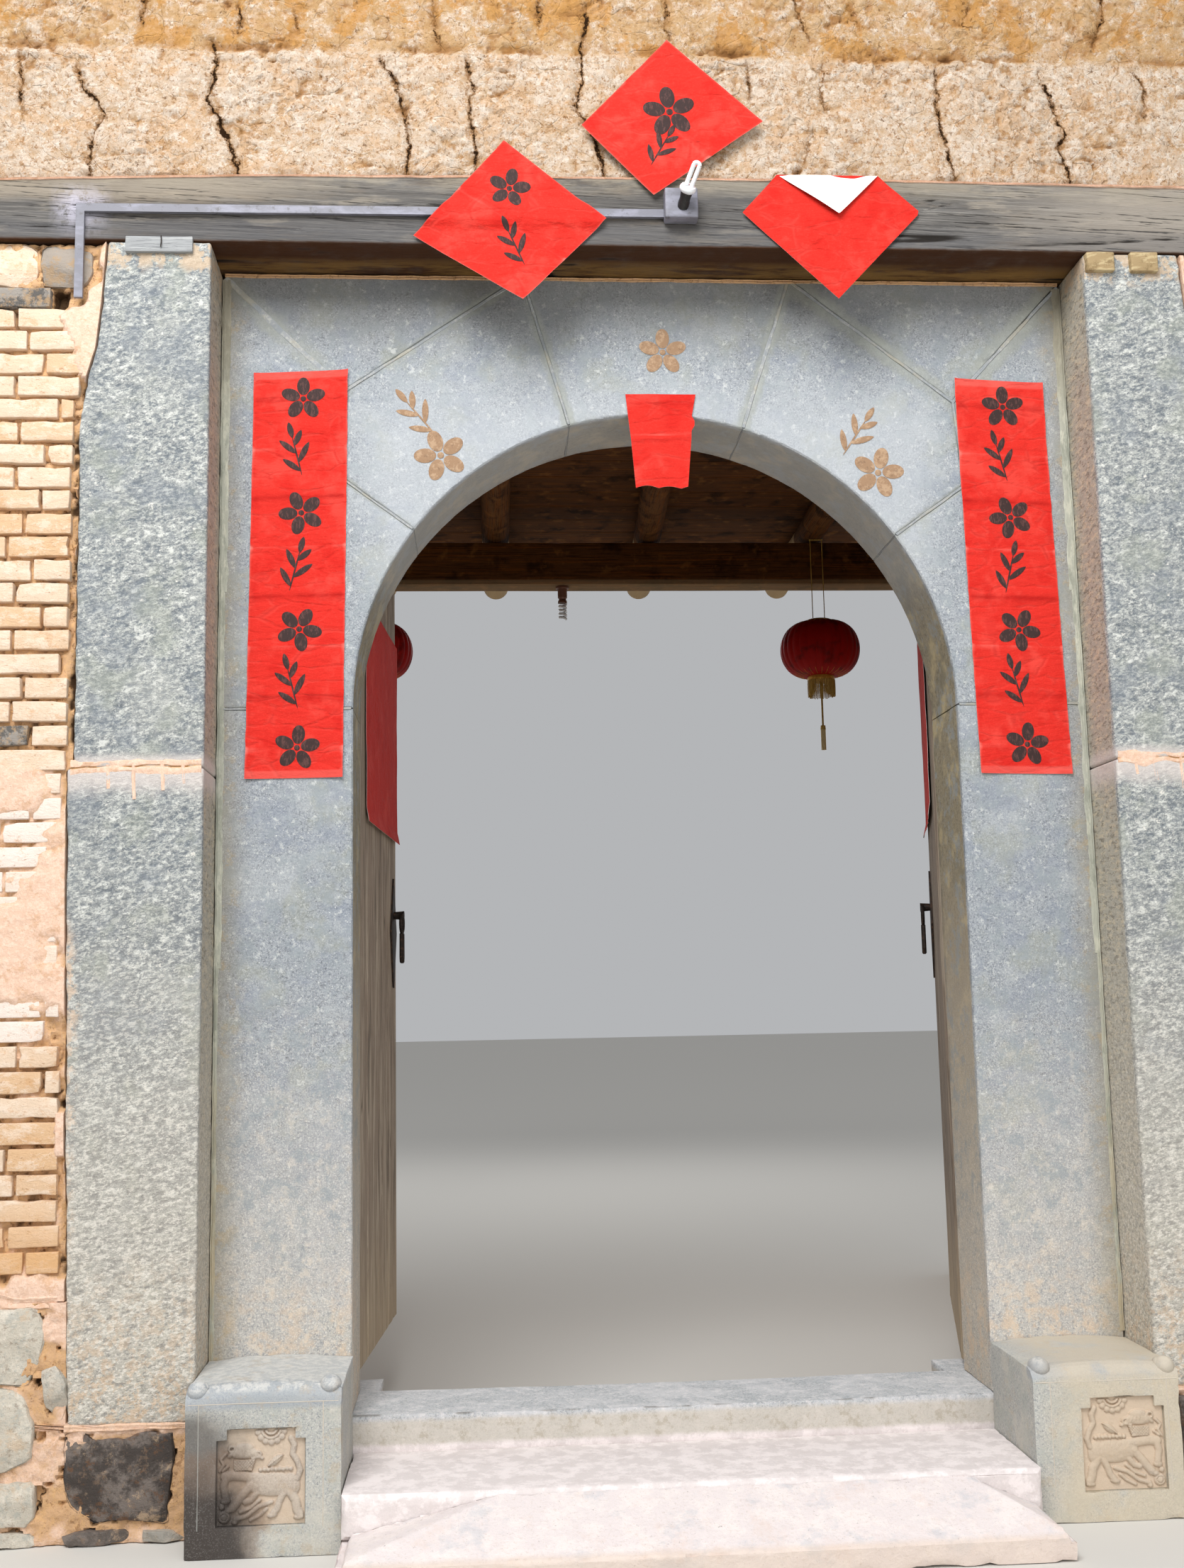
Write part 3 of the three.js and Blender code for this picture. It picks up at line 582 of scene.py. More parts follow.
def dressed_granite():
    """Granite pecked flat: a close grey speckle with white flecks, sooty and darkened as painted shade under
    the beam, ochre dust low down, lightened there as painted light from the floor.
    """
    stone = Finish("dressed_granite", "#8f949a", 0.74)
    grain = speckle(stone, "#bcc0c2", "#6f757c", "#565a60")
    broad = stone.mottle(230, 4)
    flecked = stone.ramp(stone.mottle(200, 4, shift=15), 0.42, 0.52)
    recess = stone.rise(1, 215, 232, 3, 30)
    pores = stone.mottle(14, 4, 0.75, shift=3)
    # Pale ochre dust low down, lightened further as painted light from the floor.
    foot = stone.rise(2, 1500, 420, 150, 260)
    # Soot, and painted shade under the beam's overhang: the panel darkens towards its top.
    soot_and_beam_shade = stone.rise(2, 3250, 3540, 110, 300)
    haunch = stone.both(stone.rise(2, 2300, 2700, 150, 300),
                        stone.rise(0, 960, 760, 80, 300, mirrored=True))
    haunch = stone.both(haunch, stone.rise(2, 3350, 3050, 100, 300))
    corner = stone.rise(0, 1195, 1290, 30, 240, mirrored=True)
    ragged = stone.sum("MULTIPLY_ADD", stone.mottle(30, 6, 0.75, shift=23), 0.9, stone.mark())
    stone.coats(
        ("#b2b6b7", broad, 0.5, 0.66, 0.4),
        ("#828a97", (130, 5, 0.66, 9), 0.48, 0.62, 0.5),
        ("#989b8e", (170, 4, 0.6, 13), 0.52, 0.64, 0.45),
        ("#a7acb0", (22, 5, 0.75, 25), 0.5, 0.6, 0.5),
        ("#efefeb", (12, 4, 0.8, 18), 0.655, 0.68, 0.95, flecked),
        ("#cfd1ce", (26, 5, 0.8, 3), 0.58, 0.62, 0.6),
        ("#8d8061", recess, 0.2, 1, 0.85),
        ("#655c48", pores, 0.5, 0.6, 0.6, recess),
        ("#a39c88", (9, 4, 0.8, 29), 0.54, 0.6, 0.5, recess),
        ("#bfae86", (90, 4, 0.6, 2), 0.48, 0.66, 0.65, recess),
        ("#74705f", (150, 4, 0.6, 6), 0.52, 0.62, 0.6, recess),
        ("#b7aa98", stone.both(recess, stone.rise(2, 1900, 1300, 150, 260)), 0, 1, 0.55),
        # Pale dust low down, partly painted light from the floor.
        ("#ccc5ba", foot, 0, 1, 0.55),
        ("#e2ddd4", grain, 0.52, 0.58, 0.7, foot),
        ("#82858a", (8, 4, 0.8, 4), 0.53, 0.6, 0.65, foot),
        ("#8f979b", (70, 6, 0.78, 33), 0.5, 0.6, 0.6, stone.rise(2, 560, 760, 100, 200, shift=3)),
        ("#d8cdbd", (40, 6, 0.78, 35), 0.54, 0.62, 0.6, foot),
        ("#dcbf9e", (70, 6, 0.8, 5), 0.46, 0.62, 0.6, stone.rise(2, 700, 380, 120, 200)),
        # Soot, and painted shade under the beam.
        ("#6f6d67", soot_and_beam_shade, 0, 1, 0.55),
        ("#bcc0c4", haunch, 0, 1, 0.5),
        ("#98907c", corner, 0, 1, 0.5),
        ("#b29a6c", (70, 5, 0.75, 21), 0.52, 0.62, 0.5, corner),
        # Painted shade in the panel's upper corners under the beam.
        ("#5b5144", stone.both(corner, stone.rise(2, 3380, 3540, 60, 120)), 0.2, 1, 0.7),
        ("#94978f", ragged, 0.66, 1.05, 0.6),
        ("#a9aca4", ragged, 0.95, 1.3, 0.35))
    return stone.relief(grain, 1.1).relief(pores, 1.8).relief(broad, 4).done()


def picked_granite():
    """Granite left rough from the point chisel: short slanting picks, pale ridges over grey pits that are
    partly painted highlight and painted shade; the inner side and the foot are lightened as painted light.
    """
    stone = Finish("chiselled_granite", "#989b9a", 0.8)
    speckle(stone, "#b2b4b2", "#7f8588", "#64686c")
    picks = stone.mottle(19, 6, 0.72, stretch=(1.3, 1, 0.8), slant=16, bend=0.35)
    ridges = stone.mottle(10, 5, 0.8, stretch=(1.4, 1, 0.75), slant=14, shift=6)
    broad = stone.mottle(300, 4)
    # The inner side face: its own grey-brown with ochre dust, lightened as painted light where it stands in
    # shade.
    side = stone.rise(1, 12, 30, 3, 30)
    edge = stone.rise(0, 1600, 1655, 26, 70, mirrored=True)
    blotch = stone.ramp(stone.mottle(60, 5, 0.75, shift=24), 0.42, 0.56)
    low = stone.both(stone.rise(2, 1700, 1450, 100, 240, shift=4), blotch)
    high = stone.rise(2, 3440, 3520, 40, 160, shift=4)
    wash = stone.both(stone.rise(2, 1925, 2010, 28, 60, shift=2), stone.rise(2, 2085, 2040, 14, 90))
    # Pale dust low down, lightened further as painted light from the floor.
    foot = stone.rise(2, 1800, 420, 150, 200)
    stone.coats(
        # The picks and ridges: the stone's grey and pale grain, with painted shade in the pits and painted
        # highlight on the ridges.
        ("#6d757c", picks, 0.485, 0.43, 0.8),
        ("#cbcdc7", ridges, 0.52, 0.57, 0.75),
        ("#e0e1db", picks, 0.565, 0.61, 0.75),
        ("#5e656c", ridges, 0.43, 0.385, 0.7),
        ("#bbbcb6", broad, 0.5, 0.68, 0.35),
        ("#7b838c", (190, 5, 0.66, 9), 0.5, 0.64, 0.45),
        ("#999e92", (150, 4, 0.6, 12), 0.52, 0.66, 0.45),
        ("#ebe7de", (34, 5, 0.8, 5), 0.63, 0.67, 0.8),
        # The inner side, lightened as painted light; the ochre and dark grit on it are its own.
        ("#b5ae9e", side, 0.2, 1, 0.85),
        ("#d2c4a8", stone.mottle(16, 5, 0.8, stretch=(1, 3, 1), shift=2), 0.5, 0.58, 0.7, side),
        ("#6f675a", stone.mottle(12, 5, 0.8, stretch=(1, 3, 1), shift=8), 0.52, 0.59, 0.65, side),
        ("#dcc0a6", stone.both(edge, low), 0.15, 0.6, 0.8),
        ("#cfb596", stone.both(high, blotch), 0.25, 0.8, 0.7),
        ("#d8cec8", wash, 0.1, 0.9, 0.75),
        # Pale dust low down, partly painted light from the floor.
        ("#cbc3b4", foot, 0, 1, 0.68),
        # The same painted highlight and shade on the picks and ridges low down.
        ("#97938c", picks, 0.475, 0.42, 0.75, foot),
        ("#e8e2d8", ridges, 0.52, 0.57, 0.8, foot),
        ("#858482", ridges, 0.43, 0.39, 0.7, foot),
        ("#d6b795", (30, 6, 0.8, 5), 0.49, 0.57, 0.6, stone.rise(2, 760, 330, 120, 200)))
    return stone.relief(ridges, 2.6).relief(picks, 4.5).relief(broad, 5).done()


def trodden_granite():
    """Granite worn by feet: a smooth grey speckle under pale dust, darker and worn on the nosings."""
    stone = Finish("trodden_granite", "#b6b9bc", 0.66)
    grain = speckle(stone, "#c8c7c3", "#8f9497", "#70767b")
    dust = stone.mottle(150, 5, 0.7)
    riser = stone.rise(2, 240, 222, 5, 40)
    low = stone.rise(2, 176, 160, 5, 40)
    stone.coats(
        ("#d0cfd0", dust, 0.4, 0.6, 0.6),
        ("#e3dfde", (30, 6, 0.78, 3), 0.5, 0.6, 0.45),
        ("#9aa1a6", (90, 5, 0.7, 8), 0.56, 0.7, 0.4),
        ("#c6bdae", riser, 0, 1, 0.7),
        ("#a59b88", (34, 6, 0.78, 16), 0.52, 0.62, 0.55, riser),
        ("#77746d", stone.mark(), 0.4, 1, 0.8),
        ("#e2d8d8", low, 0.1, 1, 0.7),
        ("#f5ecea", (60, 6, 0.75, 19), 0.44, 0.58, 0.6, low))
    return stone.relief(grain, 0.8).relief(stone.mottle(20, 3, 0.6, shift=2), 1.6).relief(dust, 4).done()


def carved_granite():
    """Granite chiselled fine for carving: a close speckle, tan dust in the hollows, sooty low on the left."""
    stone = Finish("carved_granite", "#b3b3ad", 0.7)
    grain = speckle(stone, "#cccbc4", "#94979a", "#74777a", 4)
    roll = stone.both(stone.rise(2, 352, 368, 3, 60), stone.rise(1, -98, -112, 3, 60))
    crown = stone.rise(2, 396, 406, 2, 60)
    right = stone.rise(0, 900, 1000, 30, 90)
    left = stone.both(stone.rise(0, -1100, -1265, 60, 70), stone.rise(2, 372, 310, 24, 60))
    sooty = stone.both(stone.rise(0, -1075, -1190, 55, 60), stone.rise(2, 280, 90, 60, 70))
    stone.coats(
        ("#cbc6b9", (110, 4), 0.48, 0.66, 0.55),
        ("#a8ada6", (90, 5, 0.7, 11), 0.5, 0.62, 0.4),
        ("#b9bbbb", stone.both(stone.rise(2, 385, 397, 3, 60), stone.rise(1, -112, -98, 3, 60)), 0, 1, 0.7),
        ("#989fa8", roll, 0, 1, 0.6),
        ("#b39f82", (60, 6, 0.75, 5), 0.54, 0.66, 0.4),
        ("#d3d1cb", (26, 6, 0.78, 31), 0.44, 0.58, 0.7, crown),
        ("#cdbda2", (130, 5, 0.66, 8), 0.22, 0.5, 0.62, right),
        ("#bfa68e", stone.mark(), 0.2, 0.8, 0.7),
        ("#d6c3ac", stone.mark(), 0.8, 1.2, 0.5),
        ("#5f5a56", left, 0, 0.8, 0.85),
        ("#806753", sooty, 0.02, 0.3, 0.5),
        ("#3a3634", sooty, 0.15, 0.8, 0.88),
        ("#8b8783", grain, 0.53, 0.62, 0.45, left),
        ("#c4c6c0", stone.mark(), 1.2, 1.6, 0.45))
    return stone.relief(grain, 0.9).relief(stone.mottle(16, 3, 0.6, shift=2), 1.4).done()


def lime_fillet():
    """Lime run along the inner corners to close them: pale grey-green, brushed, ochre near the foot."""
    paste = Finish("lime_fillet", "#adaea1", 0.9, 0.2)
    foot = paste.rise(2, 1500, 600, 200, 260)
    head = paste.rise(2, 3000, 3400, 100, 260)
    paste.coats(
        ("#cac9b8", paste.mottle(26, 5, 0.75, stretch=(1, 1, 3)), 0.48, 0.62, 0.7),
        ("#929589", paste.mottle(40, 5, 0.75, stretch=(1, 1, 3), shift=3), 0.5, 0.6, 0.7),
        ("#b9a889", paste.mottle(70, 5, 0.75, stretch=(1, 1, 3), shift=7), 0.36, 0.56, 0.7, foot),
        ("#857a66", head, 0.1, 1, 0.6),
        ("#4f483d", paste.mark(), 0.3, 0.9, 0.8))
    return paste.relief(paste.mottle(9, 4, 0.75), 1.6).done()


def cement():
    """Lime cement rubbed over the stone joints: olive grey, matt, gritty, a little paler than the stone."""
    paste = Finish("cement", "#9b9ea0", 0.9, 0.2)
    grit = paste.mottle(9, 4, 0.75)
    foot = paste.rise(2, 1400, 500, 150, 260)
    paste.coats(
        ("#b3b4b0", grit, 0.48, 0.62),
        ("#8b9195", (60, 4, 0.6, 3), 0.46, 0.62, 0.7),
        ("#aba591", (120, 4, 0.6, 7), 0.5, 0.62, 0.6),
        ("#bfae90", foot, 0.1, 1, 0.6),
        ("#544c40", paste.mark(), 0.3, 0.9, 0.6))
    return paste.relief(grit, 1.6).done()


def ramp_cement():
    """A cement ramp trodden smooth: off-white with a pink cast, dark grit and bluish patches."""
    paste = Finish("ramp_cement", "#e2d8d6", 0.78, 0.25)
    grit = paste.mottle(9, 5, 0.8)
    front = paste.rise(1, -395, -425, 6, 60)
    paste.coats(
        ("#eee4df", (70, 6, 0.72, 15), 0.46, 0.6, 0.6),
        ("#cbbdb2", grit, 0.54, 0.64, 0.45),
        ("#b9bdc3", (150, 6, 0.7, 3), 0.53, 0.66, 0.45),
        ("#dcc6b9", (100, 6, 0.7, 9), 0.53, 0.7, 0.4),
        ("#8b8580", (16, 5, 0.8, 12), 0.63, 0.69, 0.7),
        ("#d6c0ab", front, 0.1, 1, 0.5))
    return paste.relief(grit, 2).relief(paste.mottle(40, 3, 0.6, shift=5), 3).done()


def earth_mortar():
    """Mud mortar: crumbly orange earth, and pinkish cream where lime was put in it; near black where the tone
    marks holes and gaps, as painted shade.
    """
    paste = Finish("earth_mortar", "#e3c0a8", 0.95, 0.15)
    crumb = paste.mottle(11, 5, 0.78, bend=0.3)
    mud = paste.mark()
    paste.coats(
        ("#efd3bf", crumb, 0.46, 0.58, 0.65),
        ("#d0a684", (46, 6, 0.75, 3), 0.52, 0.62, 0.6),
        ("#cca47c", mud, 0.15, 0.85, 0.95),
        ("#d9ae7c", (14, 5, 0.8, 8), 0.48, 0.57, 0.75, mud),
        ("#734a26", (20, 6, 0.8, 6), 0.53, 0.62, 0.65, mud),
        # Near black at the highest tones: painted shade in holes and gaps.
        ("#2f1d10", mud, 1.15, 1.8, 0.95))
    return paste.relief(crumb, 3.4).relief(paste.mottle(30, 3, 0.6, shift=5), 5).done()


def rammed_earth():
    """Clay, sand and lime rammed in lifts: a cream crust that weathers off to tan, crumbly earth; the tone
    adds painted highlight on the knobs and painted shade in the hollows.
    """
    earth = Finish("lime_earth", "#d5b490", 0.96, 0.12)
    crust = earth.mottle(30, 6, 0.8, bend=0.12)
    crumb = earth.mottle(13, 6, 0.8, shift=2)
    hollow = earth.mark()
    upper = earth.rise(2, 4172, 4200, 20, 120)
    pits = earth.mottle(26, 6, 0.8, shift=43, bend=0.2)
    edges = earth.grains(95, "DISTANCE_TO_EDGE", bend=2.2, shift=4)
    broken = earth.ramp(earth.mottle(70, 5, 0.75, shift=9), 0.52, 0.62)
    aside, half, near = earth.trait("crack")
    jagged = earth.sum("MULTIPLY_ADD", earth.mottle(22, 6, 0.75, shift=31), 34, aside)
    jagged = earth.sum("MULTIPLY_ADD", earth.mottle(95, 5, 0.7, shift=33), 70, jagged)
    pinch = earth.sum("MULTIPLY_ADD", earth.mottle(48, 5, 0.75, shift=37), 30, -16.6)
    reach = earth.sum("ADD", half, earth.both(pinch, near))
    apart = earth.sum("SUBTRACT", earth.sum("ABSOLUTE", earth.sum("SUBTRACT", jagged, 52)), reach)
    fissures = earth.relief(crumb, 5).relief(crust, 13).relief(pits, -7)
    earth.coats(
        # Paler on the knobs: partly the cream crust, partly painted highlight.
        ("#e5cfb8", hollow, 0.62, 0.3, 0.85),
        ("#f1e2d2", crust, 0.48, 0.56, 0.65),
        ("#dfb68c", (90, 6, 0.75, 5), 0.5, 0.58, 0.6),
        ("#c08d55", earth.mottle(36, 6, 0.8, shift=51, bend=0.3), 0.55, 0.62, 0.6),
        ("#fbf1e4", (24, 6, 0.78, 53), 0.54, 0.6, 0.6),
        ("#a9794a", crumb, 0.545, 0.6, 0.75),
        ("#cca26c", (50, 6, 0.78, 7), 0.42, 0.55, 0.7, upper),
        ("#d0964c", (170, 6, 0.7, 17), 0.53, 0.58, 0.7, upper),
        # Darker in the hollows: tan earth, and painted shade.
        ("#b07f4c", hollow, 0.5, 0.8, 0.8),
        ("#7d5430", hollow, 0.78, 0.98, 0.85),
        ("#7d562f", pits, 0.585, 0.64, 0.8),
        ("#96703f", edges, 0.035, 0.004, 0.5, broken),
        ("#8f6437", apart, 8, -0.5, 0.85, near),
        ("#33200f", apart, 0.9, -2.2, 1, near))
    return fissures.relief(earth.ramp(edges, 0, 0.04), 1.5).done()


def sun_brick():
    """Mud bricks dried in the sun: cream to ochre, each its own tone, grainy, with straw pores."""
    brick = Finish("sun_brick", "#e2cab1", 0.95, 0.14)
    body = brick.mottle(26, 6, 0.78, stretch=(2, 1, 1))
    tone = brick.mark()
    low = brick.rise(2, 900, 760, 40, 120)
    grit = brick.mottle(7, 5, 0.8, shift=3)
    brick.coats(
        ("#d6ab7c", tone, 0.4, 0.75, 0.75),
        ("#f0decc", body, 0.47, 0.6, 0.55),
        ("#f0e2d8", tone, 0.3, 0.05, 0.85),
        ("#d0a071", (50, 6, 0.78, 5), 0.54, 0.64, 0.5),
        ("#a8764a", brick.mottle(9, 5, 0.8, stretch=(3, 1, 1), shift=8), 0.6, 0.66, 0.65),
        ("#d9a873", low, 0.1, 1, 0.6),
        ("#9a938b", tone, 0.93, 0.96, 1),
        ("#4c4b4a", (60, 6, 0.75, 14), 0.46, 0.56, 0.8, brick.ramp(tone, 0.96, 1)),
        ("#b09473", (50, 6, 0.78, 19), 0.48, 0.58, 0.8, brick.ramp(tone, 0.93, 0.96)))
    return brick.relief(grit, 2.2).relief(body, 5).done()


def fieldstone():
    """Split field stone in the plinth: beige grey to near black, faceted, stained with ochre mud."""
    stone = Finish("fieldstone", "#ccc4b5", 0.82, 0.25)
    body = stone.mottle(60, 6, 0.75)
    grain = stone.mottle(9, 5, 0.8, shift=3)
    tone = stone.mark()
    dark = stone.ramp(tone, 0.6, 0.95)
    stone.coats(
        ("#e6ddce", body, 0.46, 0.62, 0.7),
        ("#a3a7a1", (40, 6, 0.75, 6), 0.48, 0.62, 0.5),
        ("#746a64", tone, 0.3, 0.85, 0.95),
        ("#2a2523", (90, 6, 0.75, 12), 0.4, 0.56, 0.75, dark),
        ("#6e4f38", (50, 6, 0.8, 18), 0.54, 0.62, 0.7, dark),
        ("#87705c", (22, 6, 0.8, 15), 0.55, 0.63, 0.5),
        ("#d5b795", (80, 6, 0.75, 9), 0.56, 0.66, 0.5))
    return stone.relief(grain, 3.2).relief(body, 9).done()


# Timber finishes. Each grain is drawn out along the timber's own length.


def grain_of(wood, along, light, dark, width=9, reach=46, slant=0.0):
    """Lays the grain: pale and dark streaks width across and reach times as long."""
    stretch = [1, 1, 1]
    stretch[along] = reach
    streaks = wood.mottle(width, 4.0, 0.7, stretch=stretch, slant=slant)
    wood.coat(light, streaks, 0.50, 0.62, 0.85)
    fine = wood.mottle(width / 2.6, 4.0, 0.75, stretch=stretch, slant=slant, shift=3)
    wood.coat(dark, fine, 0.51, 0.61, 0.8)
    return streaks, fine


def weathered_beam():
    """An old fir beam in the rain's edge: silver-grey fibres, brown where sheltered, black checks."""
    wood = Finish("weathered_beam", "#65625f", 0.86, 0.2)
    streaks = wood.mottle(16, 5, 0.75, stretch=(30, 1, 1), slant=-1.8)
    fine = wood.mottle(5, 4, 0.8, stretch=(70, 1, 1), slant=-2, shift=3)
    right = wood.rise(0, 900, 1500, 200, 400)
    rubbed = wood.both(wood.rise(0, -700, -1300, 200, 300), wood.rise(2, 3672, 3716, 12, 120))
    splashed = wood.both(wood.rise(0, -1570, -1650, 16, 40), wood.rise(0, -1760, -1690, 16, 40))
    splashed = wood.both(splashed, wood.rise(2, 3560, 3650, 14, 50))
    splashed = wood.both(splashed, wood.rise(2, 3750, 3690, 14, 50))
    drawn = wood.mottle(9, 4, 0.75, stretch=(34, 1, 1), slant=-3, shift=15)
    ledge = wood.rise(2, 3722, 3766, 14, 160)
    low = wood.rise(2, BEAM_BOTTOM + 90, BEAM_BOTTOM + 40, 14, 260)
    soffit = wood.rise(2, BEAM_BOTTOM + 16, BEAM_BOTTOM + 2, 4, 60)
    inner = wood.both(soffit, wood.rise(1, 90, 150, 12, 120))
    wood.coats(
        ("#817e7a", streaks, 0.48, 0.62, 0.6),
        ("#4a4846", fine, 0.5, 0.6, 0.75),
        ("#98948c", fine, 0.46, 0.38, 0.45),
        ("#776a5b", wood.mottle(110, 5, 0.66, stretch=(4, 1, 0.6), shift=5), 0.52, 0.64, 0.5),
        ("#5c5b5b", wood.mottle(90, 5, 0.66, stretch=(5, 1, 0.5), shift=9), 0.5, 0.62, 0.6),
        ("#9d9486", wood.mottle(100, 5, 0.66, stretch=(3, 1, 0.6), shift=12), 0.54, 0.66, 0.6),
        ("#a39a8e", right, 0, 1, 0.7),
        ("#4f4c4a", wood.rise(0, 500, 200, 200, 400), 0, 1, 0.22),
        ("#a89b88", rubbed, 0.1, 1, 0.5),
        ("#c4c1cf", (26, 5, 0.75, 41), 0.34, 0.54, 0.75, splashed),
        ("#2f2c2a", drawn, 0.585, 0.615, 0.9),
        ("#9b9282", wood.mottle(100, 5, 0.7, stretch=(3, 1, 1), shift=7), 0.4, 0.56, 0.6, ledge),
        ("#5a5a5d", low, 0, 1, 0.45),
        ("#43260c", soffit, 0.3, 1, 0.95),
        ("#8a6a3a", wood.mottle(60, 5, 0.7, stretch=(5, 1, 1), shift=21), 0.36, 0.58, 0.8, inner),
        ("#1d1814", wood.mark(), 0.35, 0.9, 0.95))
    return wood.relief(fine, 1.6).relief(streaks, 3).relief(drawn, -2.5).done()


def hall_timber(name, along, ground):
    """Old fir indoors: dark warm brown, partly the wood's own and partly painted shade of the covered hall,
    long grain, dull; pale cream where the tone is set, partly painted light.
    """
    wood = Finish(name, ground, 0.8, 0.08)
    streaks, fine = grain_of(wood, along, "#7a4618", "#2b1406", width=11)
    wood.coats(
        ("#1f0f05", (140, 4, 0.6, 8), 0.5, 0.68, 0.75),
        ("#8e5f30", (90, 4, 0.6, 13), 0.56, 0.68, 0.5),
        # Pale cream where the tone is set: painted light from below on the cross-beam's lower band, and on
        # the joists' far ends fresh wood and painted courtyard light.
        ("#cdb38a", wood.mark(), 0.5, 1, 0.9))
    return wood.relief(fine, 0.8).relief(streaks, 2.2).done()


def leaf_timber():
    """Fir planks of the door leaves: grey-brown from hands and rain, upright grain, pale at the foot."""
    wood = Finish("plank_fir", "#9c8c7c", 0.78, 0.25)
    streaks, fine = grain_of(wood, 2, "#c3b4a0", "#5f5145", width=10)
    wood.coats(
        ("#cabda9", wood.mottle(60, 4, 0.6, stretch=(1, 1, 9), shift=8), 0.5, 0.66, 0.6),
        ("#54483e", wood.mottle(70, 4, 0.6, stretch=(1, 1, 7), shift=5), 0.54, 0.68, 0.6),
        ("#4a4038", wood.rise(0, -100, 100, 10, 200), 0, 1, 0.35),
        ("#c2ad8e", wood.rise(2, 800, 280, 150, 200), 0, 1, 0.5),
        ("#241c16", wood.mark(), 0.45, 1, 0.9))
    return wood.relief(fine, 0.9).relief(streaks, 2.4).done()


def new_pine():
    """Offcuts of pine driven in as wedges: straw brown, with the ring lines of end grain."""
    wood = Finish("new_pine", "#a08a66", 0.8, 0.25)
    rings = wood.mottle(9, 3, 0.6, stretch=(5, 5, 1), slant=12)
    wood.coats(
        ("#bba882", rings, 0.48, 0.6, 0.9),
        ("#7c6848", (26, 4, 0.7, 4), 0.52, 0.66, 0.7))
    return wood.relief(rings, 1.2).done()


def grey_board():
    """A thin board left out for years: even grey, fine upright-sawn grain."""
    wood = Finish("grey_board", "#9a9c9d", 0.85, 0.2)
    streaks, fine = grain_of(wood, 0, "#b4b5b4", "#6e7072", width=6)
    return wood.relief(fine, 0.8).relief(streaks, 1.4).done()


# Paper, cloth, iron and fittings.


def red_paper():
    """New-year paper dyed scarlet: matt, soft fibres; where the tone is set, paler along folds, partly wear
    and partly painted highlight, and darker in creases as painted shade.
    """
    sheet = Finish("scarlet_paper", "#cd2b22", 0.82, 0.14)
    fibre = sheet.mottle(5, 3, 0.7)
    edges = sheet.grains(70, "DISTANCE_TO_EDGE", stretch=(2.2, 1, 0.8), bend=0.8)
    broken = sheet.ramp(sheet.mottle(60, 4, shift=17), 0.46, 0.58)
    wrinkles = sheet.mottle(46, 4, 0.66, stretch=(2.2, 1, 0.8), shift=9, bend=0.6)
    sheet.coats(
        ("#dc3e34", fibre, 0.5, 0.7, 0.5),
        ("#de4d42", (110, 5, 0.6, 4), 0.5, 0.66, 0.5),
        ("#bf1a14", (80, 5, 0.6, 7), 0.52, 0.66, 0.5),
        ("#b3160f", edges, 0.05, 0, 0.7, broken),
        ("#e0554a", edges, 0.1, 0.05, 0.2, broken),
        # Painted shade in the creases; paler folds, partly wear and partly painted highlight.
        ("#a3130f", sheet.mark(), 0.1, 0.9, 0.8),
        ("#f39084", sheet.mark(), -0.1, -0.9, 0.8))
    return sheet.relief(fibre, 0.25).relief(wrinkles, 7).relief(sheet.ramp(edges, 0, 0.1), 1.2).done()


def ink():
    """Soot ink brushed on the paper: warm black, dry and grey where the brush ran out."""
    brushed = Finish("brush_ink", "#33211f", 0.7, 0.3)
    brushed.coat("#5a3a36", brushed.mottle(9, 4, 0.75, stretch=(1, 1, 3)), 0.5, 0.6, 0.8)
    return brushed.done()


def ochre_wash():
    """Ochre clay rubbed into shallow carving: tan, matt, a little chalky."""
    clay = Finish("ochre_wash", "#9a7d63", 0.92, 0.15)
    clay.coats(
        ("#b89c80", (26, 5, 0.75), 0.48, 0.6, 0.7),
        ("#7d6552", (14, 5, 0.75, 5), 0.54, 0.62, 0.6))
    return clay.relief(clay.mottle(8, 4, 0.75), 0.8).done()


def paper_back():
    """The undyed back of the same paper: off-white with a pink cast."""
    sheet = Finish("paper_back", "#ece3dc", 0.85, 0.22)
    fibre = sheet.mottle(7, 3, 0.7)
    sheet.coat("#f7f1ec", fibre, 0.5, 0.7, 0.7)
    return sheet.relief(fibre, 0.3).done()


def lantern_cloth():
    """Thin red cloth glued on wire: a deep red with a low sheen that shows the ribs."""
    cloth = Finish("red_cloth", "#980704", 0.6, 0.15)
    weave = cloth.mottle(3, 2, 0.7)
    cloth.coats(
        ("#a3100b", weave, 0.48, 0.66, 0.6),
        ("#560403", (70, 3, 0.6, 3), 0.5, 0.68, 0.7))
    return cloth.relief(weave, 0.3).done()


def gilt_paper():
    """Gold-foiled paper trim, dulled: a yellow metal gloss with creases."""
    foil = Finish("gilt_paper", "#b8862f", 0.42, 0.5, 0.6)
    creases = foil.mottle(6, 3, 0.7)
    foil.coat("#dcb45c", creases, 0.48, 0.64, 0.8)
    return foil.relief(creases, 0.6).done()


def silk_fringe():
    """Rayon threads of the fringe and tassel: mustard yellow, soft gloss along each thread; the tassel's
    threads painted pale as painted light.
    """
    thread = Finish("silk_fringe", "#a8873a", 0.5, 0.45)
    strands = thread.mottle(3, 2, 0.6, stretch=(1, 1, 30))
    thread.coats(
        ("#cdb063", strands, 0.45, 0.62, 0.8),
        ("#6f5520", strands, 0.42, 0.3, 0.8),
        # Pale cream where the tone is set: the tassel's threads, as painted light.
        ("#f3e3b4", thread.mark(), 0.2, 0.9, 0.85))
    return thread.relief(strands, 0.6).done()


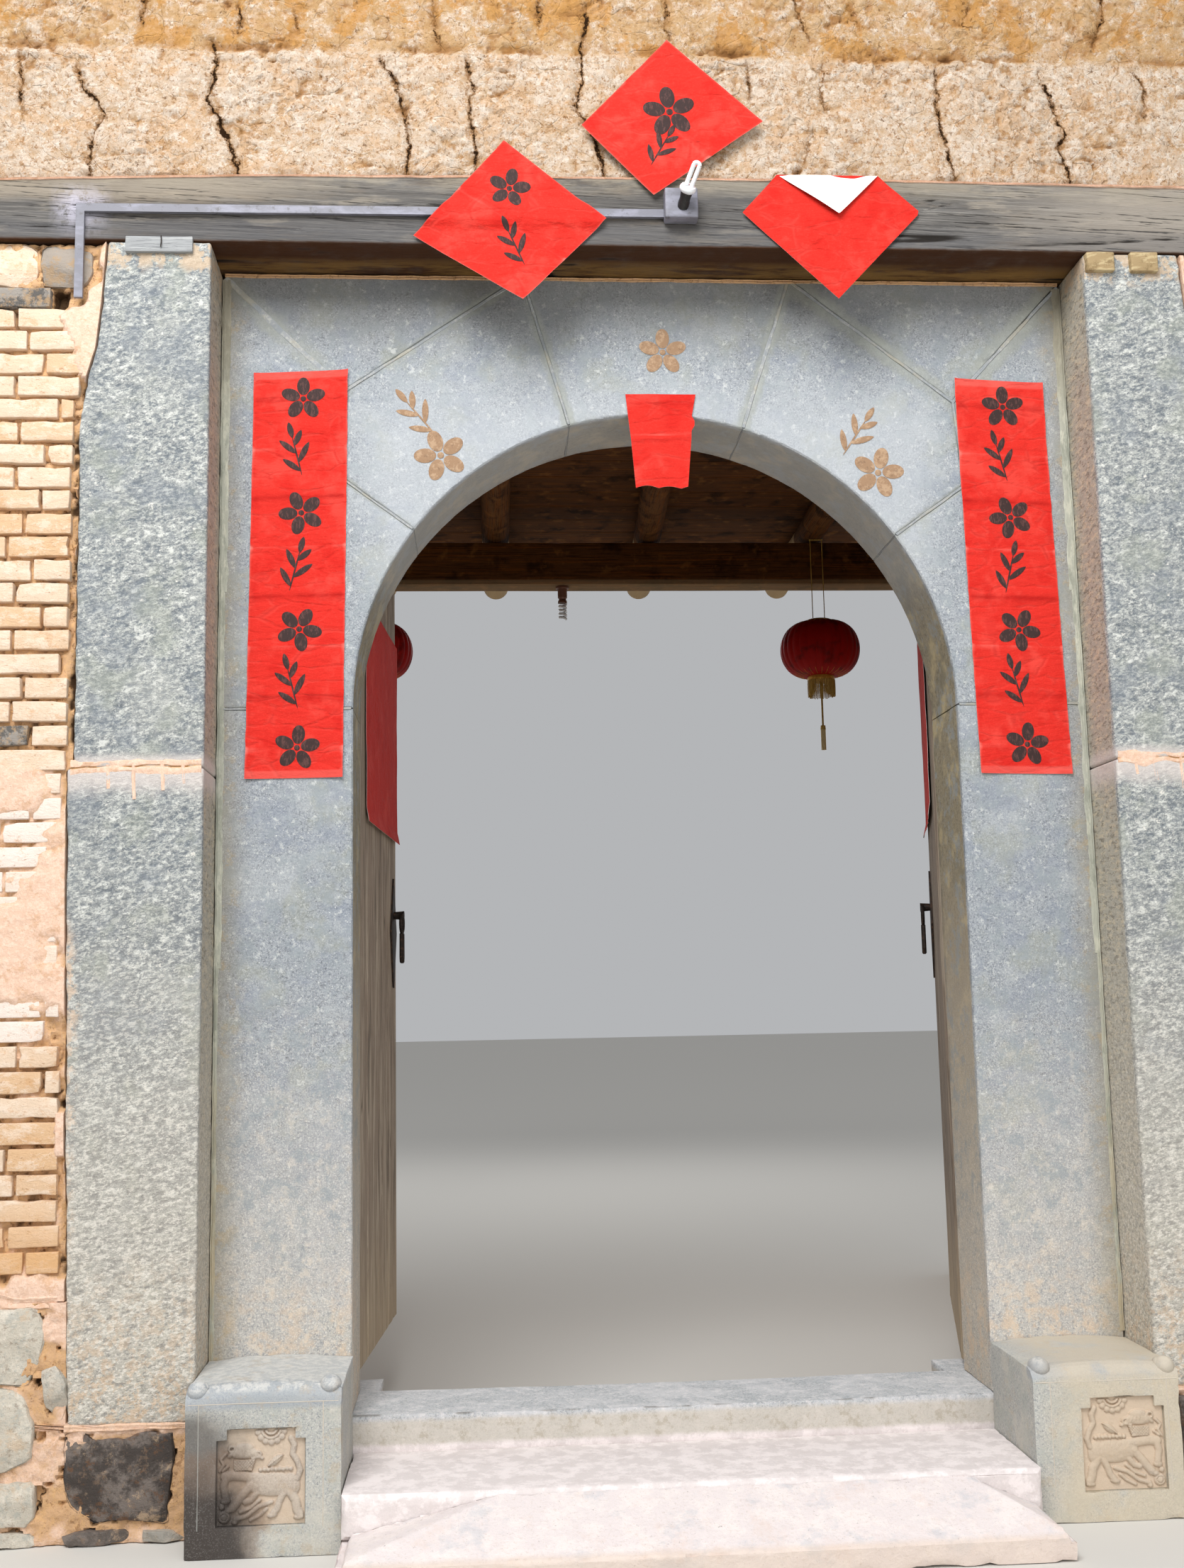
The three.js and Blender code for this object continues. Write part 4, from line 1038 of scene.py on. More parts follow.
def wrought_iron():
    """Hand-forged iron: nearly black scale with brown rust, hammered uneven."""
    iron = Finish("forged_iron", "#332c28", 0.62, 0.4, 0.7)
    scale = iron.mottle(14, 4, 0.65)
    iron.coats(
        ("#5f4637", scale, 0.5, 0.68, 0.7),
        ("#8a5a38", (7, 4, 0.7, 4), 0.6, 0.72, 0.6))
    return iron.relief(scale, 1.2).done()


def grey_plastic():
    """Rigid PVC that has been painted over: blue-grey, satin, with pale paint rubbed thin."""
    plastic = Finish("painted_plastic", "#75757e", 0.5, 0.4)
    plastic.coats(
        ("#91919f", plastic.mottle(40, 4, 0.65, stretch=(3, 1, 1)), 0.46, 0.66, 0.7),
        ("#595759", (24, 4, 0.7, 5), 0.56, 0.7, 0.7))
    return plastic.relief(plastic.mottle(12, 3), 0.4).done()


def bakelite():
    """Moulded phenolic: near black with a soft gloss and dust on top."""
    plastic = Finish("bakelite", "#1d1c1c", 0.42, 0.5)
    plastic.coats(
        ("#4a4744", (9, 4, 0.7), 0.54, 0.72, 0.6),
        ("#7c5442", plastic.mark(), 0.2, 0.9, 0.9))
    return plastic.relief(plastic.mottle(5, 2), 0.2).done()


def lamp_white():
    """Glazed ceramic and coated glass of the lamps: clean white, glossy."""
    glaze = Finish("lamp_white", "#e9edf0", 0.22, 0.5)
    glaze.coat("#cfd8df", (12, 3), 0.55, 0.75, 0.5)
    return glaze.relief(glaze.mottle(8, 2), 0.1).done()


FINISHES = {made.name: made for made in (
    dressed_granite(), picked_granite(), trodden_granite(), carved_granite(), cement(), lime_fillet(), ink(),
    ochre_wash(), ramp_cement(), earth_mortar(), rammed_earth(), sun_brick(), fieldstone(), weathered_beam(),
    # Hall timber kept dark, partly as painted shade of the covered hall.
    hall_timber("hall_timber_across", 0, "#59381d"), hall_timber("hall_timber_inward", 1, "#6b4829"),
    leaf_timber(), new_pine(), grey_board(), red_paper(), paper_back(), lantern_cloth(),
    gilt_paper(), silk_fringe(), wrought_iron(), grey_plastic(), bakelite(), lamp_white())}


# Stonework.


def worn(points, normals, arris, flat, chip, seed, size=90):
    """Wears a stone: hollows up to flat deep, and up to chip more off its arrises."""
    hollows = 0.5 + 0.5 * rumple(points, size, 3, seed)
    chips = smooth(arris, 0.02, 0.12) * (0.25 + np.clip(rumple(points, 42, 2, seed + 5), 0, 1) * 1.6)
    return points - normals * (flat * hollows + chip * chips)[:, None]


def add_arch_stones():
    """The stones of the gate, arris by arris, each worn on its own, with cement smeared near the joints."""
    names = ["keystone"] + [f"{kind}_{side}" for side, _ in SIDES
                            for kind in ("jamb", "springer", "haunch", "corner_stone")]
    for seed, name in enumerate(names):
        points, normals, arris, faces = ruled(name, (20, 34, 20), lambda normal: normal.y < 0.9)
        smeared = np.zeros(len(points))
        for route, _, reach, _ in joint_routes():
            apart = from_line(points[:, 0], points[:, 2], np.array(route))
            smeared = np.maximum(smeared, smooth(apart, reach * 1.3, reach * 0.3))
        smeared *= (points[:, 1] < PANEL_FACE + 6) * (0.75 + 0.5 * rumple(points, 120, 2, 30))
        points = worn(points, normals, arris, 1.8, 1.6, 40 + seed)
        Pile().lay(points, faces, 0.75 * smeared).build(
            f"dressed_{name}", ["dressed_granite"], "granite", [name])


# The joints between the arch stones: degrees round the arch, and where each haunch stone's top corner is.
LOWER_JOINT = {"left": 143.2, "right": 35.4}
KEY_JOINT = {"left": 106.2, "right": 72.0}
HAUNCH_APEX = {"left": (-928, 3198), "right": (934, 3177)}
HAUNCH_REACH = 960


def arch_ray(degrees, reach):
    angle = math.radians(degrees)
    return (reach * math.cos(angle), SPRING + reach * math.sin(angle))


def joint_routes():
    """Each joint between the arch stones: route on the face, width, reach of its smear, how open it is."""
    top = BEAM_BOTTOM - 8
    routes = []
    for side, sign in SIDES:
        left = side == "left"
        low, high, apex = LOWER_JOINT[side], KEY_JOINT[side], HAUNCH_APEX[side]
        upright = abs(HAUNCH_REACH / math.cos(math.radians(low)))
        key_top = arch_ray(high, (top - SPRING) / math.sin(math.radians(high)))
        routes += [
            ([(sign * (PANEL_EDGE - 4), SPRING), (sign * (ARCH_RADIUS + 6), SPRING)], 6, 8, 0.2),
            ([arch_ray(low, ARCH_RADIUS + 6), arch_ray(low, upright)], 6, 16, 0.1),
            ([arch_ray(low, upright), apex], 6, 12, 0.0),
            ([apex, (sign * (PANEL_EDGE - 8), top - 6)], 15 if left else 9, 52, 0.1),
            ([arch_ray(high, ARCH_RADIUS + 6), key_top], 7 if left else 9, 30, 0.5 if left else 0.15),
            ([apex, np.add(key_top, (sign * 3, 5))], 8, 26 if left else 46, 0.05),
        ]
    return routes


def pointing(pile, route, width, face, seed, step=13, proud=0.5, gap=0.0, finish=0, tone=0.0):
    """A line of pointing over a joint: a low ragged film that dives into the stone at both edges.

    It stands proud of the face; gap is how deep and dark the crack along its middle is.
    """
    x, z = paced(route, step, 3)
    run = np.stack([np.gradient(x), np.gradient(z)], axis=1)
    run /= np.linalg.norm(run, axis=1, keepdims=True)
    rough = rough_over(x, z)
    left = width * (0.65 + 0.35 * rough(60, 3, seed))
    right = width * (0.65 + 0.35 * rough(60, 3, seed + 3))
    wander = 0.25 * width * rough(40, 2, seed + 5)
    open_by = gap * smooth(rough(90, 2, seed + 9), -0.35, 0.15)
    rows, tones = [], []
    for share, depth, dark in ((1.0, 2.5, 0), (0.6, -proud, 0), (0.16, -proud * 0.4, 0), (0, -0.2, 1),
                               (-0.16, -proud * 0.4, 0), (-0.6, -proud, 0), (-1.0, 2.5, 0)):
        reach = share * (left if share > 0 else right) + wander * (abs(share) < 1)
        lift = face + depth + 0.4 * rough(25, 2, seed + 7) + dark * 2.2 * open_by
        rows.append(np.stack([x + run[:, 1] * reach, lift, z - run[:, 0] * reach], axis=1))
        tones.append(tone + dark * open_by)
    pile.lay_face(np.array(rows[::-1]), face + 6, tones[::-1], tone, finish)


def add_pointing():
    """Grey cement in the joints between the arch stones, and lime along the panel's upright corners."""
    joints = Pile()
    for number, (route, width, _, gap) in enumerate(joint_routes()):
        pointing(joints, route, width, PANEL_FACE, 11 + 10 * number, gap=gap, proud=0.2)
    foot, head = 405, BEAM_BOTTOM - 20
    for number, (_, sign) in enumerate(SIDES):
        for low, high, width in ((foot, 1500, 11), (1480, 2600, 17), (2580, head, 22)):
            corner = sign * (PANEL_EDGE - 0.6 * width)
            pointing(joints, [(corner, low), (corner, high)], width, PANEL_FACE, 171 + number,
                     proud=0.9, finish=1)
        seam = sign * (PANEL_EDGE - 3)
        pointing(joints, [(seam, foot), (seam, head)], 6, PANEL_FACE - 1, 181 + number,
                 proud=1.5, gap=0.5, finish=1)
    half = 0.1
    soffits = (LOWER_JOINT["left"], KEY_JOINT["left"], KEY_JOINT["right"], LOWER_JOINT["right"])
    for number, degrees in enumerate(soffits):
        rings = []
        for y in np.linspace(PANEL_FACE + 6, STONE_BACK - 6, 60):
            here = ARCH_RADIUS + 1.6 + 0.9 * float(rumple(np.array([[0, y, 0]]), 30, 2, 161 + number)[0])
            ring = [arch_ray(degrees + turn, reach) for turn, reach in (
                (-half, here), (half, here), (half, ARCH_RADIUS + 30), (-half, ARCH_RADIUS + 30))]
            rings.append(np.array([(x, y, z) for x, z in ring]))
        joints.lay(*loft(rings))
    joints.build("stone_pointing", ["cement", "lime_fillet"], "granite")


# The pilasters' outer edges, as height and distance from the middle of the gate.
OUTER_LOW = ((PILASTER_FOOT, 1625), (1025, 1647))
OUTER_HIGH = ((3000, 1658), (3160, 1639), (3246, 1615), (3383, 1601), (BEAM_BOTTOM, 1590))


def add_pilasters():
    """Roughly squared pillars, two lengths to a side, left as the point chisel cut them."""
    wide, arris = 360, 9
    for number, (side, sign) in enumerate(SIDES):
        for length, edge in (("lower", [*OUTER_LOW, (PILASTER_JOINT, 1668)]),
                             ("upper", [(PILASTER_JOINT, 1652), *OUTER_HIGH])):
            name = f"pilaster_{side}_{length}"
            low, high = corners(name)
            seed = 80 + 10 * number + len(length)
            points, faces = net(lines(0, wide, 17, arris), [*lines(0, 210, 18, arris)[:-3], 290],
                                lines(low[2], high[2], 17, arris))
            points = rounded(points, arris)
            outer = np.interp(points[:, 2], *zip(*edge))
            points[:, 0] = PILASTER_INNER + points[:, 0] / wide * (outer - PILASTER_INNER)
            shape = rumple(points, 150, 3, seed)
            pits = np.clip(rumple(points, (30, 30, 18), 3, seed + 4), -0.2, 1)
            cut = 2.5 * (1 + shape) + 3.5 * (0.2 + pits)
            points[:, 1] += np.where(points[:, 1] < 150, cut, 0)
            points[:, 0] += np.where(points[:, 0] < PILASTER_INNER + 12, 0.6 * cut, 0)
            points[:, 0] = np.where(points[:, 0] > outer - 12, points[:, 0] - cut, points[:, 0])
            if sign < 0:
                points[:, 0] *= -1
                faces = faces[:, ::-1]
            Pile().lay(points, faces).build(f"picked_{name}", ["chiselled_granite"], "picked_granite", [name])


def add_pilaster_mortar():
    """Lime mortar over each pilaster's joint, cracked along it and run down in drips, and under its foot."""
    mortar = Pile()
    for number, (_, sign) in enumerate(SIDES):
        here, there = sign * (PILASTER_INNER + 8), sign * 1655
        pointing(mortar, [(here, PILASTER_JOINT + 3), (there, PILASTER_JOINT)], 34, 3, 101 + number,
                 proud=1.8, gap=1.6)
        for place, fall in ((0.14, 46), (0.30, 64), (0.52, 88), (0.72, 58)):
            x = here + (there - here) * place
            pointing(mortar, [(x, PILASTER_JOINT + 10), (x + 4, PILASTER_JOINT - fall)], 9, 3,
                     111 + number, proud=1.2)
        foot = PILASTER_FOOT - 6
        pointing(mortar, [(sign * 1296, foot), (sign * 1628, foot)], 13, 1, 121 + number, proud=1.5, tone=0.3)
        seam = PLINTH_TOP + 2
        route = [(sign * (pilaster_edge(seam) + 20), seam), (sign * (HALF_BAY - 24), seam + 6)]
        pointing(mortar, route, 38, 6, 125 + number, proud=5)
    mortar.build("pilaster_mortar", ["earth_mortar"], "mud_brick")


def ring_mound(x, z, middle, radius, width, height=1.0):
    """A rounded ring in a relief."""
    apart = np.hypot(x - middle[0], z - middle[1]) - radius
    return height * np.sqrt(np.clip(1 - (apart / width) ** 2, 0, 1))


RELIEF = {"width": 222, "height": 234, "bottom": 76, "floor": -138.5}
RELIEF_MIDDLE = {"left": -1100, "right": 1135}
PEDESTAL_OUTER, PEDESTAL_INNER = 1291, 898
# Places in the relief, from its panel's lower left corner.
BEAST_BACK = ((140, 96), (66, 30))
SUN, BALL = (134, 232), (18, 21)


def mound(x, z, middle, reach, turn=0.0, height=1.0):
    """A rounded swelling in a relief, an ellipse turned so many degrees."""
    angle = math.radians(turn)
    across = (x - middle[0]) * math.cos(angle) + (z - middle[1]) * math.sin(angle)
    along = (z - middle[1]) * math.cos(angle) - (x - middle[0]) * math.sin(angle)
    return height * np.sqrt(np.clip(1 - (across / reach[0]) ** 2 - (along / reach[1]) ** 2, 0, 1))


def cordon(x, z, route, width, height=1.0):
    """A rounded band in a relief, along a route."""
    return height * np.sqrt(np.clip(1 - (from_line(x, z, route) / width) ** 2, 0, 1))


def beast_relief(x, z):
    """A striding beast with a lotus basket on its back, the sun over it, ribbons and balls below it."""
    parts = [form(x, z, *sizes) for form, *sizes in (
        (mound, *BEAST_BACK), (mound, (104, 100), (34, 27), -14), (mound, (184, 94), (24, 30), 8, 0.98),
        (cordon, ((100, 112), (70, 118), (40, 121), (20, 118)), 13, 0.9),
        (cordon, ((22, 116), (16, 96), (20, 74), (22, 62)), 10, 0.95), (mound, (21, 60), (13, 9), 10),
        (cordon, ((88, 100), (66, 76), (50, 56), (38, 42)), 11), (mound, (32, 38), (15, 8), 15),
        (cordon, ((100, 78), (84, 60), (70, 56)), 8, 0.8),
        (cordon, ((180, 80), (196, 56), (200, 34), (206, 22)), 12), (mound, (206, 17), (16, 8), 8),
        (cordon, ((168, 78), (156, 56), (150, 38), (140, 26)), 9, 0.85), (mound, (138, 22), (14, 7), 10, 0.9),
        (cordon, ((46, 14), (74, 22), (104, 44), (136, 54)), 6, 0.75),
        (cordon, ((58, 32), (84, 42), (106, 60)), 5, 0.7), (cordon, ((84, 12), (108, 24), (124, 38)), 5, 0.7),
        (mound, BALL, (16, 16)), (mound, (12, 46), (8, 8), 0, 0.9), (mound, (45, 8), (8, 7), 0, 0.9),
        (cordon, ((200, 108), (207, 128), (200, 150), (188, 168), (192, 190), (184, 206)), 8, 0.95),
        (mound, (146, 154), (21, 10), 38, 0.85), (cordon, ((128, 142), (162, 166)), 3),
        (cordon, ((6, 132), (16, 146), (8, 160), (20, 172)), 4.5, 0.75),
        (cordon, ((14, 132), (26, 142)), 4, 0.7),
        (mound, (66, 172), (38, 13), 0, 0.85), (mound, (67, 186), (25, 13), 0, 0.95),
        (ring_mound, (36, 184), 7, 3.5, 0.9), (ring_mound, (102, 170), 7, 3.5, 0.9),
        (cordon, ((88, 160), (104, 166), (112, 160)), 5, 0.8),
        (ring_mound, SUN, 14, 4, 0.8), (ring_mound, SUN, 24, 4, 0.8))]
    for k in range(7):
        angle = math.radians(196 + 25 * k)
        scallop = (SUN[0] + 34 * math.cos(angle), SUN[1] + 34 * math.sin(angle))
        parts.append(mound(x, z, scallop, (9, 9), 0, 0.75))
    for k in range(9):
        parts.append(mound(x, z, (108 + 9.5 * k, 132 + (k % 2)), (6, 6), 0, 0.9))
    for k in range(-3, 4):
        parts.append(mound(x, z, (66 + 10 * k, 178 - 1.5 * abs(k)), (6.5, 15), 14 * k, 1.05 - 0.06 * abs(k)))
    height = np.maximum.reduce(parts)
    basket = (np.abs(x - 66 - 0.12 * (z - 144)) < 25 + 0.2 * (z - 144)) & (np.abs(z - 144) < 13)
    weave = (np.abs(np.sin(0.42 * (x + z))) < 0.3) | (np.abs(np.sin(0.42 * (x - z))) < 0.3)
    height = np.where(basket, np.maximum(height, 0.85 - 0.22 * weave), height)
    locks = np.abs(np.sin((x + 0.5 * z) / 4.6)) < 0.22
    back = (z > 108) & (mound(x, z, *BEAST_BACK) > 0.2)
    height = np.where(locks & back, height - 0.12, height)
    seam = np.abs(np.hypot(x - BALL[0], z - BALL[1]) - 8) < 1.6
    return np.clip(np.where(seam, height - 0.25, height), 0, 1.1)


def egg(centre, reach, rows=14, sides=20):
    """A closed egg about a centre, reaching so far along each axis."""
    lean = np.linspace(0.08, math.pi - 0.08, rows)[:, None]
    turn = np.linspace(0, 2 * math.pi, sides, endpoint=False)[None, :]
    rings = np.stack([np.sin(lean) * np.cos(turn), np.sin(lean) * np.sin(turn),
                      np.cos(lean) * np.ones(turn.shape)], axis=-1)
    return loft(np.array(centre) + rings * np.array(reach))


def add_pedestals():
    """Two carved stone blocks before the jambs: a rolled front edge with knobs, a beast in a sunk panel."""
    width, height = RELIEF["width"] - 3, RELIEF["height"] - 3
    for number, (side, sign) in enumerate(SIDES):
        name = f"pedestal_{side}"
        low, high = corners(name)
        top = {"left": 420, "right": 400}[side]
        points, normals, arris, faces = ruled(name, (15, 18, 15), lambda normal: normal.z > -0.9)
        points = worn(points, normals, arris, 1.6, 4.5, 130 + number, 70)
        dome = 1 - ((points[:, 0] - (low[0] + high[0]) / 2) / 205) ** 2
        points[:, 2] -= smooth(points[:, 2], top - 50, top - 8) * 13 * np.clip(1 - dome, 0, 1)
        carved = Pile().lay(points, faces)
        outer, inner = sign * PEDESTAL_OUTER, sign * PEDESTAL_INNER
        for spot, reach in (((outer - sign * 27, -124, top - 20), (27, 27, 26)),
                            ((inner + sign * 31, -112, top - 14), (27, 38, 25))):
            shape, skin = egg(spot, reach)
            carved.lay(jumble(shape, 24, 1.6, 150 + number), skin)
        line, foot = top - 47, 70
        for start, end in (((outer - sign * 8, line), (inner + sign * 8, line)),
                           ((outer - sign * 34, line), (outer - sign * 34, foot)),
                           ((inner + sign * 46, line), (inner + sign * 46, foot))):
            route = flat_places(np.linspace(start[0], end[0], 26), np.linspace(start[1], end[1], 26))
            shape, skin = bar(route + (0, low[1] - 0.2 + 1.6, 0), 1.5, 6)
            carved.lay(jumble(shape, 40, 0.4, 155 + number), skin, 1.6)
        x, z = np.meshgrid(np.linspace(0, width, 122), np.linspace(0, height, 128))
        face = beast_relief(x if sign < 0 else width - x, z)
        rough = 0.5 * rough_over(x, z)(9, 2, 140 + number)
        edge = np.minimum.reduce([x, width - x, z, height - z])
        lift = np.where(edge > 2, 9.0 * face * (0.92 + 0.08 * rough) + 0.7 * rough, 0)
        left = RELIEF_MIDDLE[side] - width / 2
        carved.lay_face(np.stack([left + x, RELIEF["floor"] - lift, RELIEF["bottom"] + 1.5 + z], axis=-1),
                        RELIEF["floor"] + 6, 0.6 + 0.5 * np.clip(1 - 2.2 * face, 0, 1), 0.6)
        carved.build(f"carved_{name}", ["carved_granite"], "granite", [name])


def add_steps():
    """The threshold and two steps, hollowed by feet, with the cement ramp run up against them."""
    for seed, (name, made, finish, flat, chip) in enumerate((
            ("threshold", "trodden_threshold", "trodden_granite", 3.0, 5.0),
            ("step_upper", "trodden_step", "trodden_granite", 3.0, 6.0),
            ("step_lower", "cement_ramp", "ramp_cement", 5.0, 7.0)), 151):
        points, normals, arris, faces = ruled(name, (20, 20, 15), lambda normal: normal.z > -0.9)
        nosing = smooth(arris, 0.02, 0.1) * (points[:, 1] < points[:, 1].min() + 4)
        nosing = nosing * smooth(rumple(points, 60, 3, seed), -0.2, 0.4)
        tone = nosing * (points[:, 2] > 0.8 * points[:, 2].max())
        points = worn(points, normals, arris, flat, chip, seed, 140)
        if name == "threshold":
            tread = smooth(points[:, 2], SILL - 30, SILL - 4) * smooth(np.abs(points[:, 0]), 860, 200)
            points[:, 2] -= 4 * tread
        Pile().lay(points, faces, tone).build(made, [finish], "step_stone", [name])


# The earth wall.

# The joint between the two lifts, the shrinkage cracks as routes on the face, half the width of the
# wider ones by number, and the beam's upper edge.
LIFT_JOINT = ((-1950, 4165), (-775, 4178), (0, 4185), (1950, 4192))
CRACKS = (
    ((-1690, 4125), (-1665, 4040), (-1605, 3970), (-1650, 3900), (-1645, 3765)),
    ((-1305, 4210), (-1285, 4120), (-1315, 4025), (-1255, 3910), (-1220, 3785)),
    ((-810, 4160), (-755, 4070), (-720, 3920), (-730, 3790)),
    ((-555, 4165), (-530, 4075), (-545, 4010), (-525, 3850)),
    ((-650, 4500), (-645, 4340), (-630, 4200)),
    ((-340, 4500), (-330, 4270)),
    ((-185, 4355), (-210, 4115), (-225, 4020), (-165, 3895), (-135, 3790)),
    ((50, 4480), (55, 4285), (70, 4225)),
    ((450, 4500), (460, 4330), (495, 4250)),
    ((300, 4165), (305, 4050)),
    ((530, 4180), (520, 4105), (530, 4020)),
    ((495, 3955), (470, 3905), (440, 3800)),
    ((875, 4180), (875, 4080), (885, 3955), (925, 3805)),
    ((1195, 4160), (1265, 3955), (1245, 3925), (1280, 3800)),
    ((1495, 4165), (1525, 4105), (1520, 4010)),
    ((1420, 4500), (1410, 4340), (1380, 4250)),
    ((990, 4385), (975, 4320), (1005, 4295)),
    ((-1225, 4330), (-1220, 4230)),
    ((-1065, 4315), (-1050, 4240)),
    ((-1490, 4400), (-1505, 4255)),
    ((1790, 4190), (1780, 4010), (1800, 3800)),
    ((-1860, 4160), (-1840, 3960)),
)
WIDE_CRACKS = {0: 4.5, 1: 6.5, 2: 4.0, 3: 4.0, 6: 5.0, 12: 4.4, 13: 4.0, 8: 3.4}
BEAM_CROWN = ((-1950, 3752), (-1142, 3778), (-183, 3785), (726, 3790), (1620, 3784), (1950, 3782))


def crack_lines(x, z):
    """How far beside the nearest crack each place is, the crack's half width there, and if it is near."""
    aside, half, near = np.full(x.shape, 60.0), np.zeros(x.shape), np.zeros(x.shape)
    for number, route in enumerate(CRACKS):
        wide, tall = np.array(route[::-1], float).T
        lean = math.cos(math.atan2(abs(wide[-1] - wide[0]), tall[-1] - tall[0]))
        here = (x - np.interp(z, tall, wide)) * lean
        low_end = 1.0 if tall[0] < 3860 else smooth(z, tall[0] - 20, tall[0] + 45)
        high_end = 1.0 if tall[-1] > 4470 else smooth(z, tall[-1] + 20, tall[-1] - 45)
        open_by = WIDE_CRACKS.get(number, 2.6) * low_end * high_end
        closest = (np.abs(here) < np.abs(aside)) & (open_by > 0.01)
        aside = np.where(closest, here, aside)
        half = np.where(closest, open_by, half)
        near = np.where(closest, smooth(np.abs(here), 55, 40) * np.minimum(1, open_by), near)
    return aside, half, near


def add_earth_face():
    """The weathered face over the beam: knobbly crust, tan hollows, deep shrinkage cracks, two lifts; its
    tone paints shade into what is set back.
    """
    x, share = np.meshgrid(np.linspace(-HALF_BAY, HALF_BAY, 520), np.linspace(0, 1, 100))
    bottom = np.interp(x, *zip(*BEAM_CROWN)) + 2
    z = bottom + share * (WALL_TOP - bottom)
    flat, rough = flat_places(x, z), rough_over(x, z)
    patch = 0.35 + 0.65 * smooth(rough(150, 3, 5), -0.3, 0.3)
    first, second = np.reshape(pebbles(jumble(flat, 40, 17, 3), 46, 7), (2, *x.shape))
    knobs = np.sqrt(np.clip(1 - (first / 0.9) ** 2, 0, 1)) - 0.6
    rifts = smooth(second - first, 0.20, 0.02)
    lumps = rough(52, 4, 11, 0.6, (1, 1, 1.3))
    crumbs = rough(19, 3, 13, 0.7)
    folds = 1 - np.abs(rough(60, 3, 15, 0.6, (0.7, 1, 1.4))) * 3
    above = z - np.interp(x, *zip(*LIFT_JOINT)) - 14 * rough(90, 3, 19)
    upper = smooth(above, -6, 10)
    detail = (4 * knobs + 9 * lumps + 6 * crumbs - 3 * rifts + 2.5 * np.clip(folds, 0, 1)) * patch
    groove = np.exp(-((above - 16) / 15) ** 2) * smooth(rough(130, 2, 21), -0.35, 0.3)
    ledges = smooth(np.abs(swell(flat, (260, 260, 95), 25)), 0.09, 0.0).reshape(x.shape) * patch
    worn_foot = smooth(z - bottom, 26, 2) * patch
    aside, half, near = crack_lines(x, z)
    shoulder = near * np.exp(-np.abs(aside + 16 * rough(26, 3, 29)) / 13)
    y = (15 - 9 * rough(240, 3, 1) - detail + 9 * groove + 5 * ledges + 9 * worn_foot + 5 * upper
         + 12 * shoulder)
    # The tone: low on the knobs, high in the hollows, the lift joint's groove, the ledges and beside the
    # cracks, for tan earth and painted shade there.
    hollow = 0.44 - detail / 20 + 0.32 * groove + 0.2 * ledges + 0.10 * upper + 0.14 * shoulder
    face = Pile().lay_face(np.stack([x, np.clip(y, -6, 44), z], axis=-1), 150,
                           np.clip(hollow, 0.05, 0.95), 0.3)
    cracks = np.tile((60.0, 0.0, 0.0), (face.count, 1))
    cracks[:x.size] = np.stack([aside, half, near], axis=-1).reshape(-1, 3)
    face.build("earth_face", ["lime_earth"], "rammed_earth", traits={"crack": cracks})


def add_earth_walls():
    """Rammed earth beside, over and behind the gate, coarser than the face, in the same lifts."""
    for seed, (name, step) in enumerate((("earth_wall_over", 66), ("earth_wall_left", 56),
                                         ("earth_wall_right", 56), ("party_wall_left", 76),
                                         ("party_wall_right", 76))):
        points, normals, arris, faces = ruled(name, (step, step, step))
        relief = 7 * (1 + rumple(points, 210, 3, 160 + seed))
        relief = relief + 5 * smooth(rumple(points, 60, 2, 170 + seed), 0.1, 0.6)
        points = points - normals * (relief + 8 * smooth(arris, 0.02, 0.15))[:, None]
        if name == "earth_wall_over":
            points[points[:, 1] < 60, 1] = 110
        tone = np.clip(0.4 + 0.3 * rumple(points, 60, 2, 170 + seed), 0.1, 0.8)
        Pile().lay(points, faces, tone).build(f"rammed_{name}", ["lime_earth"], "rammed_earth", [name])


# Sun-dried brick beside the pilasters. The first joints are where the left side's courses show them.

COURSE = 67.3
BRICK_HEIGHT, BRICK_LENGTH = 58, 236
BRICK_TOP = 3362
FIRST_JOINTS = (1840, 1805, 1756, 1836, 1713, 1823, 1747, 1829, 1757, 1802, 1847, 1775, 1820, 1744,
                1824, 1692, 1792, 1822, 1768, 1930, 1832, 1760)
# The heights between which the bricks are washed with lime, and the one fired brick: side, course, place.
WASHED = (1325, 2060)
DARK_BRICK = (0, 18, 0)


def pilaster_edge(z):
    """How far out the pilaster reaches at a height."""
    return np.interp(z, *zip(*OUTER_LOW, (PILASTER_JOINT - 1, 1668), (PILASTER_JOINT + 1, 1652), *OUTER_HIGH))


def lay_brick(pile, x0, x1, y0, y1, z0, z1, tone, seed):
    """One hand-moulded brick: a little twisted, its arrises chipped and worn."""
    low, high = np.array([x0, y0, z0]), np.array([x1, y1, z1])
    points, faces = block(low, high, (34, 80, 20), 3.0)
    middle, reach = (low + high) / 2, (high - low) / 2
    turn = math.radians(2 * float(lattice(np.array([[seed, 3, 1]]), 5)[0]) - 1)
    lean = points - middle
    arris = (np.abs(lean) > reach - 4).sum(axis=1) >= 2
    lean[:, 2] += lean[:, 0] * math.tan(turn)
    lean -= np.sign(lean) * (arris * np.clip(rumple(points, 30, 2, seed + 4) - 0.2, 0, 1) * 14)[:, None]
    points = jumble(middle + lean, 60, 1.3, seed)
    points[:, 0] = np.clip(points[:, 0], -HALF_BAY, HALF_BAY)
    pile.lay(points, faces, tone)


